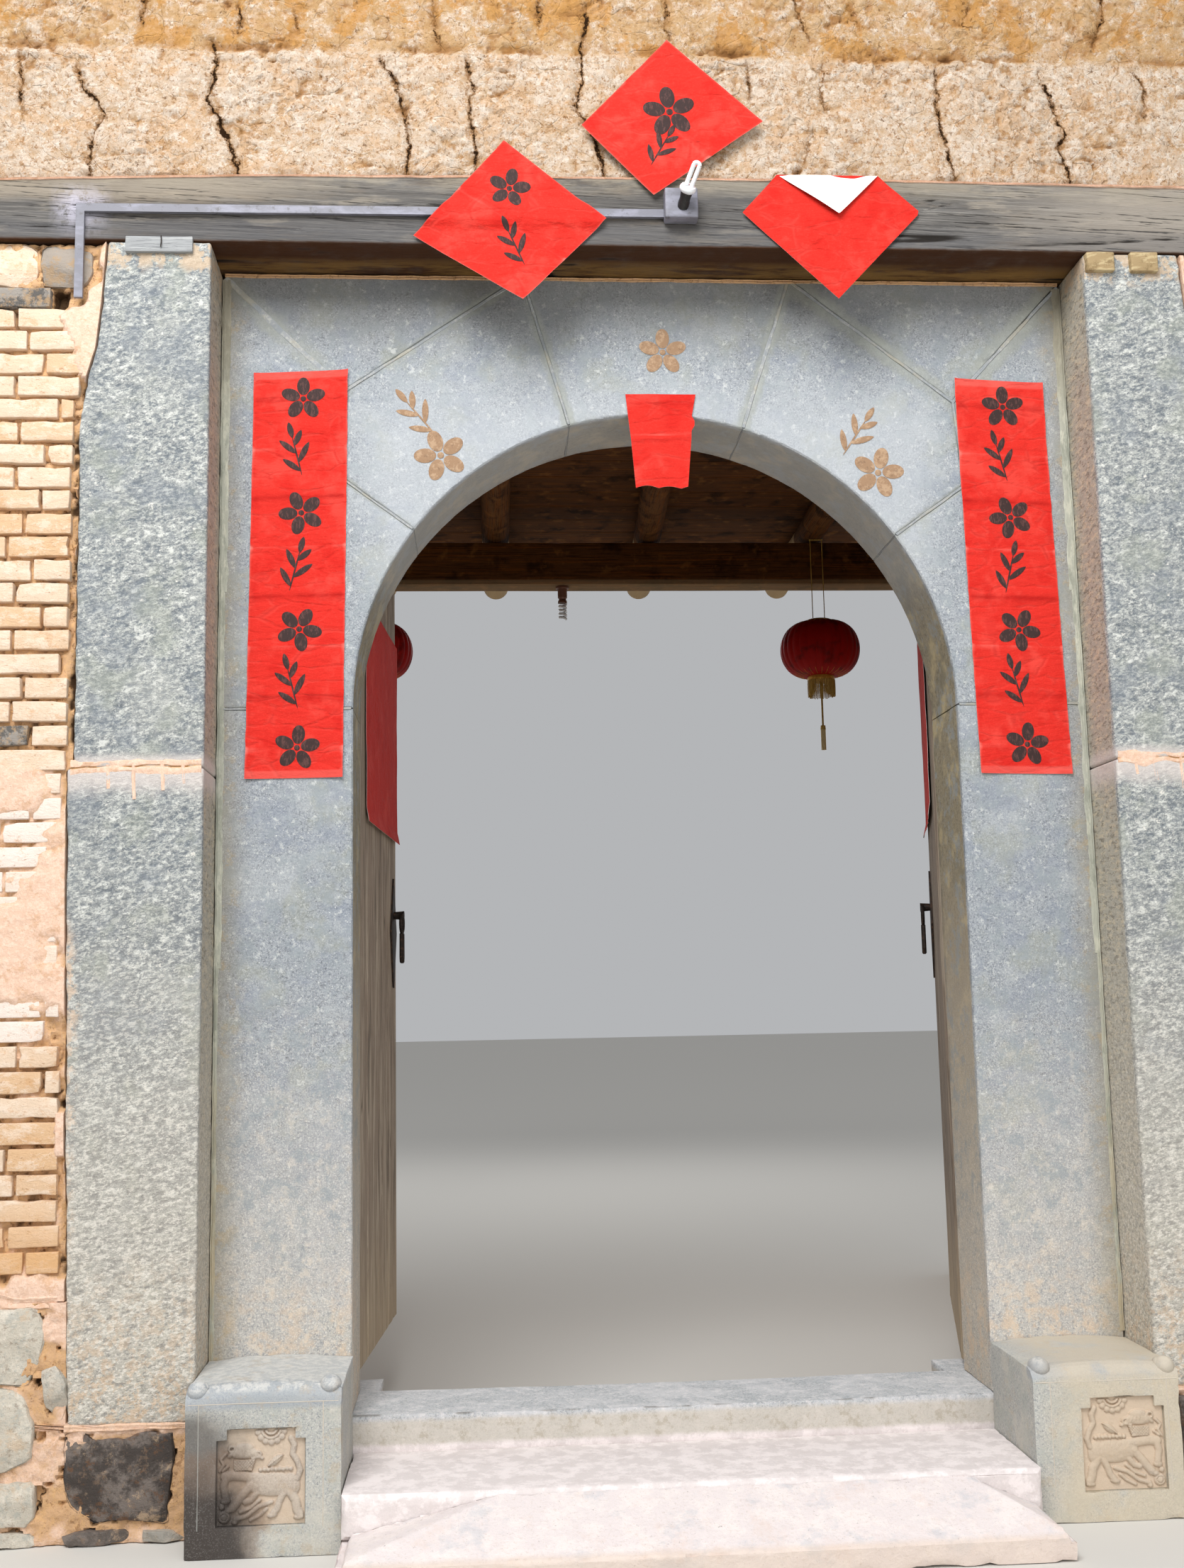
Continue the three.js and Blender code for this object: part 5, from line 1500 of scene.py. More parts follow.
def add_brickwork():
    """Brick beside each pilaster, course by course: one that shows whole, then what fits beside it."""
    for number, (side, sign) in enumerate(SIDES):
        bricks = Pile()
        for row in range(int((BRICK_TOP - PLINTH_TOP) / COURSE)):
            top = BRICK_TOP - row * COURSE
            chance = lattice(np.array([[row, number, k] for k in range(12)]), 41)
            first = FIRST_JOINTS[row] if number == 0 and row < len(FIRST_JOINTS) else 1700 + 160 * chance[0]
            end = float(pilaster_edge(top - 27)) + 14 + 10 * chance[1]
            washed = WASHED[0] < top < WASHED[1]
            spans = [(first + 5, min(first + 5 + BRICK_LENGTH, HALF_BAY))]
            if spans[0][1] < HALF_BAY - 60:
                spans.append((spans[0][1] + 10, HALF_BAY))
            if first - end > 34:
                spans.append((end, first - 5))
            for k, (near, far) in enumerate(spans):
                front = 4 + 6 * chance[2 + k] + (3 if washed else 0)
                deep = 294 if far > HALF_BAY - 1 else front + 62
                tone = 0.02 + 0.2 * chance[5 + k] if washed else 0.3 + 0.42 * chance[5 + k]
                if (number, row, k) == DARK_BRICK:
                    tone = 1.0
                lay_brick(bricks, *sorted((sign * near, sign * far)), front, deep,
                          top - (BRICK_HEIGHT - 4 * chance[8]), top, tone, 1000 * number + 10 * row + k)
        lay_head(bricks, sign, number)
        bed = Pile()
        lay_bed(bed, sign, number)
        bricks.build(f"mud_bricks_{side}", ["sun_brick"], "mud_brick", [f"brick_infill_{side}"])
        bed.build(f"mud_bed_{side}", ["earth_mortar"], "mud_brick")


def lay_head(bricks, sign, number):
    """Above the courses: a dark fired brick, a lump of adobe and a grey one under the beam."""
    def place(points):
        return points * (sign, 1, 1) + (0, 9, 0)

    lay_brick(bricks, *sorted((sign * 1746, sign * 1950)), 5, 294, 3366, 3424, 1.0, 700 + 10 * number)
    lumps = (
        (((1950, 3434), (1800, 3431), (1784, 3470), (1790, 3545), (1812, 3562), (1950, 3562)), 0.34),
        (((1768, 3442), (1712, 3430), (1650, 3438), (1630, 3482), (1634, 3540), (1656, 3560), (1776, 3558),
          (1780, 3492)), 0.955),
    )
    for k, (outline, tone) in enumerate(lumps):
        lay_fieldstone(bricks, outline, 80, tone, 720 + 17 * k + 5 * number, place)


def lay_bed(bed, sign, number):
    """The mortar between the bricks: orange mud set back, pink lime where it is flush or smeared over."""
    rows, columns = 300, 30
    z = np.linspace(PLINTH_TOP + 2, BEAM_BOTTOM - 3, rows)[:, None] * np.ones((1, columns))
    inner = pilaster_edge(z) + 1.5
    x = inner + (HALF_BAY - 2 - inner) * np.linspace(0, 1, columns)[None, :]
    over = rough_over(sign * x, z)
    rough = over(40, 3, 190 + number)
    crumbs = over(16, 2, 193 + number)
    ragged = 26 * over(60, 3, 207 + number, 0.6)
    washed = smooth(z, WASHED[0] - 60, WASHED[0] + 60) * smooth(z, WASHED[1] + 40, WASHED[1] - 40)
    smear = washed * smooth(over(130, 3, 195 + number), -0.1, 0.3)
    away = x - inner + ragged
    wide = np.interp(z + ragged, (3130, 3180, 3260, 3340, 3372, 3430, 3452), (-10, 34, 74, 118, 62, 50, 8))
    fillet = smooth(away - wide, 7, -7)
    strip = smooth(away, 28, 14) * smooth(over(150, 2, 199 + number), -0.1, 0.25) * smooth(z, 2500, 1900)
    foot = smooth(z + 1.6 * ragged, PLINTH_TOP + 78, PLINTH_TOP + 48)
    flush = smooth(z, 2100, 1950) * smooth(over(80, 3, 203 + number), 0.0, 0.3)
    cover = np.maximum.reduce([smear, fillet, strip, foot])
    lime = np.maximum.reduce([cover, 0.7 * washed, 0.6 * flush])
    y = 27 + 6 * rough + 5 * crumbs
    y += cover * (3.5 + 2.5 * rough + 1.5 * crumbs - y)
    y += (1 - cover) * np.maximum(washed, 0.8 * flush) * -9
    # The gap beside the pilaster and the hole are set back and darkened as painted shade.
    gap = smooth(x - inner, 15, 2) * smooth(over(90, 2, 197 + number), -0.3, 0.1) * (1 - cover)
    hole = smooth(np.hypot((x - 1722) / 22, (z - 3398) / 28), 1.2, 0.8) if number == 0 else 0.0
    seams = smooth(crumbs + 0.6 * rough, 0.05, 0.4) * (1 - cover) * (1 - 0.6 * flush)
    y = y + 14 * gap + 34 * hole + 6 * seams
    tone = np.clip(1 - lime, 0, 1) + 0.9 * gap + 1.3 * hole + 0.55 * seams
    bed.lay_face(np.stack([sign * x, y, z], axis=-1)[:, ::sign], 298, tone[:, ::sign], 1)


def lay_fieldstone(pile, outline, deep, tone, seed, turn=lambda points: points):
    """One split stone from its outline on the face: flat facets, a broken rim, roots in the wall."""
    ring = np.stack(paced([*outline, outline[0]], 18, 14, False), axis=1)
    flat = flat_places(*ring.T)
    ring = ring + 5 * np.stack([rumple(flat, 30, 3, seed), rumple(flat, 30, 3, seed + 1)], axis=1)
    middle = ring.mean(axis=0)
    reach = np.abs(ring - middle).max()
    chance = lattice(np.array([[seed, k, 5] for k in range(24)]), 71)
    rings = []
    for share, sink in ((0.9, deep), (1.0, 0.5 * deep), (1.0, 16), (0.99, 5), (0.97, 0.5), (0.91, 0),
                        (0.82, 0), (0.72, 0), (0.61, 0), (0.49, 0), (0.36, 0), (0.2, 0)):
        spot = middle + share * (ring - middle)
        depth = np.full(len(spot), float(sink))
        if sink < 16:
            facet = np.zeros(len(spot))
            for k in range(5):
                angle = 2 * math.pi * (k / 5 + 0.15 * chance[k])
                across = (spot - middle) @ (math.cos(angle), math.sin(angle)) / reach
                facet = np.maximum(facet, (10 + 30 * chance[k + 12]) * (across - 0.05 - 0.5 * chance[k + 6]))
            depth += facet + 5 * rumple(flat_places(*spot.T), 42, 3, seed + 7) - 2
        rings.append(np.stack([spot[:, 0], depth, spot[:, 1]], axis=1))
    points, faces = loft(rings)
    pile.lay(np.clip(turn(points), (-HALF_BAY, -1e9, 1), (HALF_BAY, 1e9, 1e9)), faces, tone)


# The plinth: field stones in mud.

# The front stones on the left, each an outline on the face and how dark it is. The right has them mirrored.
FRONT_STONES = (
    (((-1948, 596), (-1796, 594), (-1706, 602), (-1682, 533), (-1696, 453), (-1727, 401), (-1790, 404),
      (-1948, 410)), 0.15),
    (((-1948, 400), (-1790, 398), (-1736, 386), (-1702, 297), (-1711, 214), (-1783, 186), (-1948, 190)), 0.1),
    (((-1690, 437), (-1653, 452), (-1624, 408), (-1623, 346), (-1638, 310), (-1677, 348)), 0.45),
    (((-1626, 273), (-1591, 287), (-1541, 259), (-1465, 262), (-1418, 281), (-1347, 268), (-1345, 201),
      (-1360, 46), (-1461, 60), (-1553, 54), (-1611, 97), (-1629, 159)), 0.95),
    (((-1948, 172), (-1783, 160), (-1704, 162), (-1696, 80), (-1715, 50), (-1779, 52), (-1948, 50)), 0.3),
    (((-1631, 26), (-1568, 39), (-1466, 32), (-1440, 14), (-1470, 3), (-1619, 3)), 0.8),
    (((-1948, 36), (-1800, 40), (-1700, 34), (-1690, 3), (-1948, 3)), 0.35),
    (((-1420, 34), (-1350, 32), (-1310, 4), (-1425, 3)), 0.55),
)


def lay_rubble(pile, across, upward, place, seed):
    """Fills a wall's face with stones in rough courses; place puts points of the face in space."""
    start, end = across
    z, row = upward[0], 0
    while z < upward[1] - 40:
        chance = lattice(np.array([[row, k, seed] for k in range(60)]), 51)
        height = min(100 + 80 * chance[0], upward[1] - z)
        x, k = start, 1
        while x < end - 30:
            width = min(130 + 170 * chance[k], end - x)
            if end - x - width < 70:
                width = end - x
            a, b, c, d = x + 6, x + width - 6, z + 5, z + height - 5
            cut = [0.34 * min(width, height) * chance[(k + m) % 60] for m in (20, 27, 34, 41)]
            outline = [(a + cut[0], c), (b - cut[1], c), (b, c + cut[1]), (b, d - cut[2]),
                       (b - cut[2], d), (a + cut[3], d), (a, d - cut[3]), (a, c + cut[0])]
            dark = 0.9 * float(chance[(k + 7) % 60])
            lay_fieldstone(pile, outline, 70, dark, seed * 100 + row * 10 + k, place)
            x += width
            k += 1
        z += height
        row += 1


def lay_plinth_mud(pile, sign, number):
    """The mud round the front stones: crumbly, tan to orange, with holes darkened as painted shade, washed
    pale above them.
    """
    x, z = np.meshgrid(np.linspace(1285, HALF_BAY - 2, 84), np.linspace(3, PLINTH_TOP - 1, 78))
    inner = np.interp(z, (0, PILASTER_FOOT - 2, PILASTER_FOOT, PLINTH_TOP), (1285, 1300, 1626, 1630))
    x = inner + (x - 1285) / (HALF_BAY - 1287) * (HALF_BAY - 2 - inner)
    over = rough_over(sign * x, z)
    # The holes are set back and darkened as painted shade.
    holes = smooth(over(34, 3, 227 + number), 0.34, 0.5)
    wash = smooth(z, 455, 520) * smooth(over(90, 2, 229 + number), -0.4, 0.1)
    wash = np.maximum(wash, smooth(z, 250, 292) * smooth(z, 330, 300) * smooth(x, 1640, 1560))
    pale = smooth(over(80, 3, 231 + number), -0.2, 0.3)
    y = 8 + 7 * over(46, 3, 221 + number) + 5 * over(15, 2, 224 + number) + 24 * holes * (1 - wash) - 6 * wash
    tone = np.clip(0.85 - 0.55 * pale - 0.8 * wash + 1.1 * holes * (1 - wash), 0, 2)
    grid = np.stack([sign * x, np.clip(y, -6, 60), z], axis=-1)
    pile.lay_face(grid[:, ::sign], 66, tone[:, ::sign], 1)


def add_plinths():
    """Field stones in mud under each pilaster and round the corner to the back."""
    for number, (side, sign) in enumerate(SIDES):
        stones = Pile()

        def front(points):
            return points * (-sign, 1, 1) + (0, -10, 0)

        def flank(points):
            return np.stack([sign * (HALF_BAY - 3) - sign * points[:, 1], points[:, 0], points[:, 2]], axis=1)

        def rear(points):
            return np.stack([points[:, 0], WALL_BACK - 4 - points[:, 1], points[:, 2]], axis=1)

        for k, (outline, tone) in enumerate(FRONT_STONES):
            lay_fieldstone(stones, outline, 76, tone, 211 + 13 * k + number, front)
        lay_rubble(stones, (100, WALL_BACK - 8), (3, 600), flank, 33 + number)
        lay_rubble(stones, sorted((sign * 1290, sign * 1850)), (3, 600), rear, 35 + number)
        stones.build(f"plinth_stones_{side}", ["fieldstone"], "rubble", [f"plinth_{side}"])
        points, normals, arris, faces = ruled(f"plinth_{side}", (34, 44, 34))
        relief = 7 + 6 * (1 + rumple(points, 50, 3, 220 + number)) + 6 * smooth(arris, 0.02, 0.15)
        points = points - normals * relief[:, None]
        points[:, 1] = np.maximum(points[:, 1], 30)
        mud = Pile().lay(points, faces, 0.9)
        lay_plinth_mud(mud, sign, number)
        mud.build(f"plinth_mud_{side}", ["earth_mortar"], "rubble")


# Timber.


def timbered(points, along, depth, seed, width=13.0):
    """Weathered wood: how deep the soft grain and the checks go, and how much of it is check."""
    reach = np.full(3, width)
    reach[along] = 420.0
    grain = 0.5 - 0.5 * rumple(points, reach, 3, seed)
    reach[along] = 640.0
    line = np.abs(swell(points, reach * np.where(np.arange(3) == along, 1.0, 4.0), seed + 7))
    broken = smooth(swell(points, reach * np.where(np.arange(3) == along, 0.5, 6.0), seed + 9), -0.1, 0.4)
    check = smooth(line, 0.07, 0.0) * broken
    return depth * (grain + 2.2 * check), check


def add_beam():
    """The long timber over the gate, silvered and checked, its upper edge a little out of level."""
    points, faces = net(lines(-HALF_BAY, HALF_BAY, 30, 4), lines(0, BEAM_BACK, 20, 6), lines(0, 200, 8, 6))
    points = rounded(points, 5)
    crown = np.interp(points[:, 0], *zip(*BEAM_CROWN))
    points[:, 2] = BEAM_BOTTOM + points[:, 2] / 200 * (crown - BEAM_BOTTOM)
    slanted = points.copy()
    slanted[:, 2] -= 0.03 * points[:, 0]
    depth, check = timbered(slanted, 0, 2.6, 240)
    broad = 2.5 * (1 + rumple(points, (500, 90, 90), 2, 243))
    points[:, 1] += np.where(points[:, 1] < 8, depth + broad, 0)
    points[:, 2] += np.where(points[:, 2] < BEAM_BOTTOM + 8, 0.6 * depth + broad, 0)
    beam = Pile().lay(points, faces, check)
    beam.build("old_lintel_beam", ["weathered_beam"], "old_timber", ["lintel_beam"])


def add_beam_dust():
    """Pale earth lying on the beam's ledge, and mortar in the corner behind its soffit."""
    dust, corner = Pile(), Pile()
    pointing(dust, [(x, z - 1) for x, z in BEAM_CROWN], 7, 4, 251, step=16, proud=4)
    dust.build("ledge_dust", ["earth_mortar"], "rammed_earth")
    soffit = BEAM_BOTTOM - 6
    pointing(corner, [(-1285, soffit), (1285, soffit)], 9, PANEL_FACE - 2, 253, step=16, proud=2, tone=0.9)
    corner.build("soffit_mortar", ["earth_mortar"], "granite")


def add_hall():
    """Joists, the cross-beam, the gallery's floor boards, the lintels over the reveal, the leaves' head."""
    for index in range(4):
        name = f"joist_{index + 1}"
        low, high = corners(name)
        y = np.linspace(low[1], high[1], 60)
        ends = np.array([vert.co for vert in NODES[name].data.vertices]) / MM
        near = ends[ends[:, 1] < (low[1] + high[1]) / 2].mean(axis=0)
        far = ends[ends[:, 1] > (low[1] + high[1]) / 2].mean(axis=0)
        route = np.array([near + (far - near) * (v - near[1]) / (far[1] - near[1]) for v in y])
        points, faces = bar(route, 73.5 - 2.5 * (1 + swell(route, 300, 260 + index)), 36)
        depth, check = timbered(points, 1, 2.0, 270 + index)
        axis = np.stack([np.interp(points[:, 1], y, route[:, 0]), points[:, 1],
                         np.interp(points[:, 1], y, route[:, 2])], axis=1)
        points = points - (points - axis) / 75 * depth[:, None]
        # Checks darker; the far ends pale, partly fresh wood and partly painted light from the courtyard.
        tone = np.maximum(0.4 * check, 0.85 * smooth(points[:, 1], 3578, 3600))
        Pile().lay(points, faces, tone).build(f"pole_{name}", ["hall_timber_inward"], "inner_timber", [name])

    for name, seed, chip in (("cross_beam", 281, 6), ("door_head", 282, 8), ("reveal_lintels", 283, 8)):
        points, normals, arris, faces = ruled(name, (70, 22, 22))
        depth, check = timbered(points, 0, 2.4, seed)
        relief = depth + chip * smooth(arris, 0.02, 0.15)
        foot = points[:, 2].min()
        # The cross-beam's lower band pale, as painted light from below.
        tone = 0.68 * smooth(points[:, 2], foot + 66, foot + 22) * (name == "cross_beam")
        Pile().lay(points - normals * relief[:, None], faces, tone).build(
            f"old_{name}", ["hall_timber_across"], "inner_timber", [name])

    low, high = corners("deck_boards")
    count, gap = 15, 1.5
    width = (high[1] - low[1]) / count
    boards = Pile()
    for k in range(count):
        y = low[1] + k * width
        far = (high[0], y + width - gap, high[2])
        points, faces = block((low[0], y + gap, low[2]), far, (150, 44, 28), 3)
        depth, _ = timbered(points, 0, 1.6, 290 + k)
        points[:, 2] += np.where(points[:, 2] < low[2] + 4, depth, -depth)
        boards.lay(points, faces)
    boards.build("gallery_boards", ["hall_timber_across"], "inner_timber", ["deck_boards"])


# The leaves at rest: degrees open, the hinge's distance from the middle and depth, how far the face
# is from the hinge line, and the height of the paper's foot.
LEAF_OPEN = {"left": 86, "right": 104.5}
LEAF_HINGE = (960, 560.0)
LEAF_FACE = 47.5
LEAF_PAPER_FOOT = 1968


def leaf_place(side):
    """The leaf's hinge, the way along it and the way out of its front face, as it stands."""
    sign = dict(SIDES)[side]
    turn = -sign * math.radians(LEAF_OPEN[side])
    spin = np.array([[math.cos(turn), -math.sin(turn)], [math.sin(turn), math.cos(turn)]])
    return np.array([sign * LEAF_HINGE[0], LEAF_HINGE[1]]), spin @ (-sign, 0), spin @ (0, -1)


def add_leaves():
    """Two plank leaves folded back into the reveal, their iron pulls and the paper square on each."""
    for number, (side, sign) in enumerate(SIDES):
        hinge, along, out = leaf_place(side)
        name, body = f"door_leaf_{side}", f"leaf_{side}"
        points, normals, arris, faces = ruled(name, (26, 26, 60))
        from_hinge = points[:, :2] - hinge
        turned = np.stack([from_hinge @ along, from_hinge @ out, points[:, 2]], axis=1)
        depth, check = timbered(turned, 2, 1.8, 300 + number, 11)
        points = points - normals * (depth + 3 * smooth(arris, 0.02, 0.15))[:, None]
        leaf = Pile().lay(points, faces, check)
        leaf.build(f"plank_leaf_{side}", ["plank_fir"], "leaf_timber", [name], body)
        finish_node(f"door_pull_{side}", "forged_iron")

        u, z = np.meshgrid(np.linspace(160, 948, 44), np.linspace(LEAF_PAPER_FOOT, 2700, 40))
        wave = rough_over(u, z)(150, 3, 310 + number)
        lift = LEAF_FACE + 3 + 2.5 * wave + 8 * smooth(z, LEAF_PAPER_FOOT + 42, LEAF_PAPER_FOOT) * (1 + wave)
        z = z - smooth(z, LEAF_PAPER_FOOT + 62, LEAF_PAPER_FOOT) * 10 * (1 + wave)
        ground = hinge + u[..., None] * along + lift[..., None] * out
        grid = np.concatenate([ground, z[..., None]], axis=-1)[:, ::-sign]
        sheet(f"leaf_paper_{side}", grid, (-out[0], -out[1], 0), body)


# Paper. Corners run from the lowest or leftmost one, against the clock, as seen from the front.

PAPER_THICK = 0.7
STRIP_FOLDS = [0.07 + k * (1 - 2 * 0.07) / 7 for k in range(8)]


def spread_over(four, rows, columns):
    """Rows of (x, z) over a four-cornered sheet."""
    a, b, c, d = (np.array(corner, float) for corner in four)
    s = np.linspace(0, 1, columns)[None, :, None]
    t = np.linspace(0, 1, rows)[:, None, None]
    return (a * (1 - s) + b * s) * (1 - t) + (d * (1 - s) + c * s) * t, s[..., 0], t[..., 0]


def sheet(name, grid, behind, body="root", finishes=("scarlet_paper", "paper_back"), tone=0.0):
    """A thin sheet: its face over rows of points, and its back a paper's thickness behind."""
    rows, columns = grid.shape[:2]
    front = grid.reshape(-1, 3)
    edge, count = rim(rows, columns), len(front)
    ahead = np.roll(edge, -1)
    walls = np.stack([edge, count + edge, count + ahead, ahead], axis=1)
    face = grid_faces(rows, columns)
    faces = np.concatenate([face, grid_faces(rows, columns, count)[:, ::-1], walls])
    tones = np.tile(np.broadcast_to(tone, grid.shape[:2]).ravel(), 2)
    points = np.concatenate([front, front + PAPER_THICK * np.asarray(behind, float)])
    finish = (np.arange(len(faces)) >= len(face)).astype(int)
    Pile().lay(points, faces, tones, finish).build(name, finishes, "red_paper", body=body)


def paper_rise(x, z, s, t, seed, folds, wave, curl, over):
    """How far a pasted sheet stands off its face at each place, and the fine ruffle in it."""
    rough = rough_over(x, z)
    waves, ruffle = rough(110, 3, seed), rough(34, 2, seed + 3)
    crease = sum((np.exp(-np.abs(t - fold + 0.006 * waves) * 70) for fold in folds), np.zeros(np.shape(x)))
    corner = np.abs(2 * s - 1) ** 6 * np.abs(2 * t - 1) ** 6
    lift = 1.2 + wave * (1 + waves) + 0.5 * ruffle + 1.4 * crease + curl * corner
    if over is not None:
        bottom, top, proud = over
        ridge = proud * np.minimum(smooth(z, bottom - 42, bottom), smooth(z, top + 42, top))
        lift = np.hypot(lift, ridge)
    return lift, ruffle


def paste(name, four, face, seed, rows, columns, folds=(), curl=6.0, wave=2.0, over=None):
    """Pastes a sheet on a face: soft waves, creases at the folds, corners that lift.

    over is a ridge that it passes over: its lowest and highest z and how far it stands out.
    It returns the sheet's depth at (x, z), for what is painted on it.
    """
    places, s, t = spread_over(four, rows, columns)
    x, z = places[..., 0].copy(), places[..., 1]
    lift, ruffle = paper_rise(x, z, s, t, seed, folds, wave, curl, over)
    tone = np.zeros(x.shape)
    # Every other fold paler, partly worn dye and partly painted highlight, with painted shade just beside it;
    # the folds between darker, as painted shade in the crease.
    for number, fold in enumerate(folds):
        near = np.exp(-np.abs(t - fold) * rows / 1.1)
        beside = np.exp(-np.abs(t - fold - 1.6 / rows) * rows / 1.1)
        worn_and_lit_fold = number % 2 == 0
        tone += (0.75 + 0.4 * ruffle) * (-0.6 * near if worn_and_lit_fold else near) + 0.5 * beside * worn_and_lit_fold
    x += 1.3 * ruffle * (np.abs(2 * s - 1) > 0.98)
    tone -= 0.35 * (np.maximum(np.abs(2 * s - 1), np.abs(2 * t - 1)) > 1 - 1.2 / columns)
    sheet(name, np.stack([x, face - lift, z], axis=-1), (0, 1, 0), tone=tone)
    a, b, _, d = (np.array(corner, float) for corner in four)
    shares = np.linalg.inv(np.array([b - a, d - a]).T)

    def surface(x, z):
        s, t = shares @ np.stack([x - a[0], z - a[1]])
        return face - paper_rise(x, z, s, t, seed, folds, wave, curl, over)[0] - 0.4

    return surface


def petal(middle, long, wide, turn, tip=1.6, count=20):
    """A petal's or leaf's outline: it grows from its middle along its turn and narrows to both ends."""
    along = np.linspace(0, 2 * math.pi, count, endpoint=False)
    u, v = long * np.cos(along), wide * np.sin(along) * np.abs(np.sin(along)) ** (tip - 1)
    cos, sin = math.cos(math.radians(turn)), math.sin(math.radians(turn))
    return np.stack([middle[0] + u * cos - v * sin, middle[1] + u * sin + v * cos], axis=1)


def blossom(middle, size, turn=0):
    """The outlines of a five-petalled blossom with a round heart."""
    outlines = []
    for k in range(5):
        angle = turn + 90 + 72 * k
        place = (middle[0] + 0.56 * size * math.cos(math.radians(angle)),
                 middle[1] + 0.56 * size * math.sin(math.radians(angle)))
        outlines.append(petal(place, 0.40 * size, 0.27 * size, angle, 1.0))
    outlines.append(petal(middle, 0.12 * size, 0.12 * size, 0, 1.0, 14))
    return outlines


def sprig(middle, size, turn=0):
    """The outlines of a sprig: a bent stem with five narrow leaves."""
    outlines = []
    leaves = ((-0.7, 42, 0.46), (-0.3, -40, 0.5), (0.1, 38, 0.46), (0.45, -36, 0.38), (0.8, 0, 0.36))
    angle = math.radians(turn + 90)
    for share, side, long in leaves:
        root = (middle[0] + share * size * math.cos(angle), middle[1] + share * size * math.sin(angle))
        way = math.radians(turn + 90 + side)
        place = (root[0] + long * size * math.cos(way), root[1] + long * size * math.sin(way))
        outlines.append(petal(place, long * size, 0.13 * size, turn + 90 + side, 1.5))
    outlines.append(petal(middle, 0.9 * size, 0.035 * size, turn + 90, 1.0))
    return outlines


def inlay(pile, outlines, face, thick=0.5):
    """Lays flat marks from their outlines over a face, so thick; face gives the depth at (x, z)."""
    for number, outline in enumerate(outlines):
        centre = outline.mean(axis=0)
        rings = []
        for share, rise in ((0.95, -1.0), (1.0, 0.4), (0.9, 1.0), (0.5, 1.0), (0.08, 1.0)):
            spot = centre + share * (outline - centre)
            depth = face(spot[:, 0], spot[:, 1]) - (rise * thick if rise > 0 else -0.6) - 0.02 * number
            rings.append(np.stack([spot[:, 0], depth, spot[:, 1]], axis=1))
        pile.lay(*loft(rings))


def add_papers():
    """Red papers: three squares set cornerwise over the arch, two long strips, a slip at its crown."""
    blooms = Pile()
    surface = paste("paper_square_top", ((-212, 3943), (-2, 3725), (332, 3965), (49, 4221)), -9, 401, 40, 40,
                    folds=(0.5,), curl=2)
    inlay(blooms, blossom((52, 3990), 84, 8) + sprig((20, 3868), 62, -30), surface)
    surface = paste("paper_square_left", ((-710, 3591), (-392, 3400), (-144, 3649), (-442, 3894)), -1, 402,
                    54, 54, folds=(0.5,), curl=4, over=(3646, 3682, 15.2))
    inlay(blooms, blossom((-428, 3744), 66, -12) + sprig((-410, 3560), 66, 24), surface)
    strips = {"left": ((-1211, 2023), (-930, 2026), (-916, 3266), (-1195, 3252)),
              "right": ((959, 2019), (1238, 2014), (1217, 3238), (940, 3252))}
    for seed, (side, four) in enumerate(strips.items(), 404):
        surface = paste(f"paper_strip_{side}", four, PANEL_FACE, seed, 124, 26, folds=STRIP_FOLDS)
        a, b, c, d = (np.array(corner, float) for corner in four)
        for k in range(7):
            t = 0.93 - 0.143 * k
            middle = (a + b) / 2 * (1 - t) + (c + d) / 2 * t + (8 * (-1) ** k, 0)
            shapes = blossom(middle, 70, 11 * k) if k % 2 == 0 else sprig(middle, 70, 14 * (-1) ** (k // 2))
            inlay(blooms, shapes, surface)
    blooms.build("ink_blooms", ["brush_ink"], "red_paper")
    add_folded_square()
    add_crown_slip()


def add_arch_blooms():
    """Shallow blossoms and sprigs rubbed with ochre clay on the three upper stones of the arch."""
    marks = Pile()

    def stone(x, z):
        return np.full(np.shape(x), PANEL_FACE + 0.2)

    inlay(marks, blossom((38, 3330), 78), stone, 0.9)
    inlay(marks, blossom((-640, 3000), 84, 20) + sprig((-700, 3118), 76, 40), stone, 0.9)
    inlay(marks, blossom((690, 2950), 84, -14) + sprig((622, 3062), 76, -34), stone, 0.9)
    marks.build("arch_blooms", ["ochre_wash"], "granite")


def add_folded_square():
    """The right-hand square: its top corner has come loose and hangs down, white side out."""
    rows = []
    bottom, top = 3412, 3797
    for t in np.linspace(0, 1, 30):
        z = bottom + t * (top - bottom)
        left = np.interp(z, (bottom, 3678, top), (541, 262, 368))
        right = np.interp(z, (bottom, 3686, top), (541.5, 799, 675))
        x = np.linspace(left, right, 34)
        flat = flat_places(x, np.full(34, z))
        flat[:, 1] = -1 - (2.5 + 2.5 * (1 + rumple(flat, 110, 3, 421)) + 5 * smooth(z, 3770, top))
        rows.append(flat)
    sheet("paper_square_right", np.array(rows), (0, 1, 0))
    rows = []
    for t in np.linspace(0, 1, 16):
        x = np.linspace(549 - 2 - t * 176, 549 + 2 + t * 122, 20)
        flat = flat_places(x, np.full(20, 3672 + t * (top - 3672)))
        flat[:, 1] = -1 - (15 + 9 * (1 - t) + 3 * np.sin(x / 34)) * (1 - 0.35 * t)
        rows.append(flat)
    sheet("paper_flap_right", np.array(rows), (0, 1, 0), finishes=("paper_back", "scarlet_paper"))


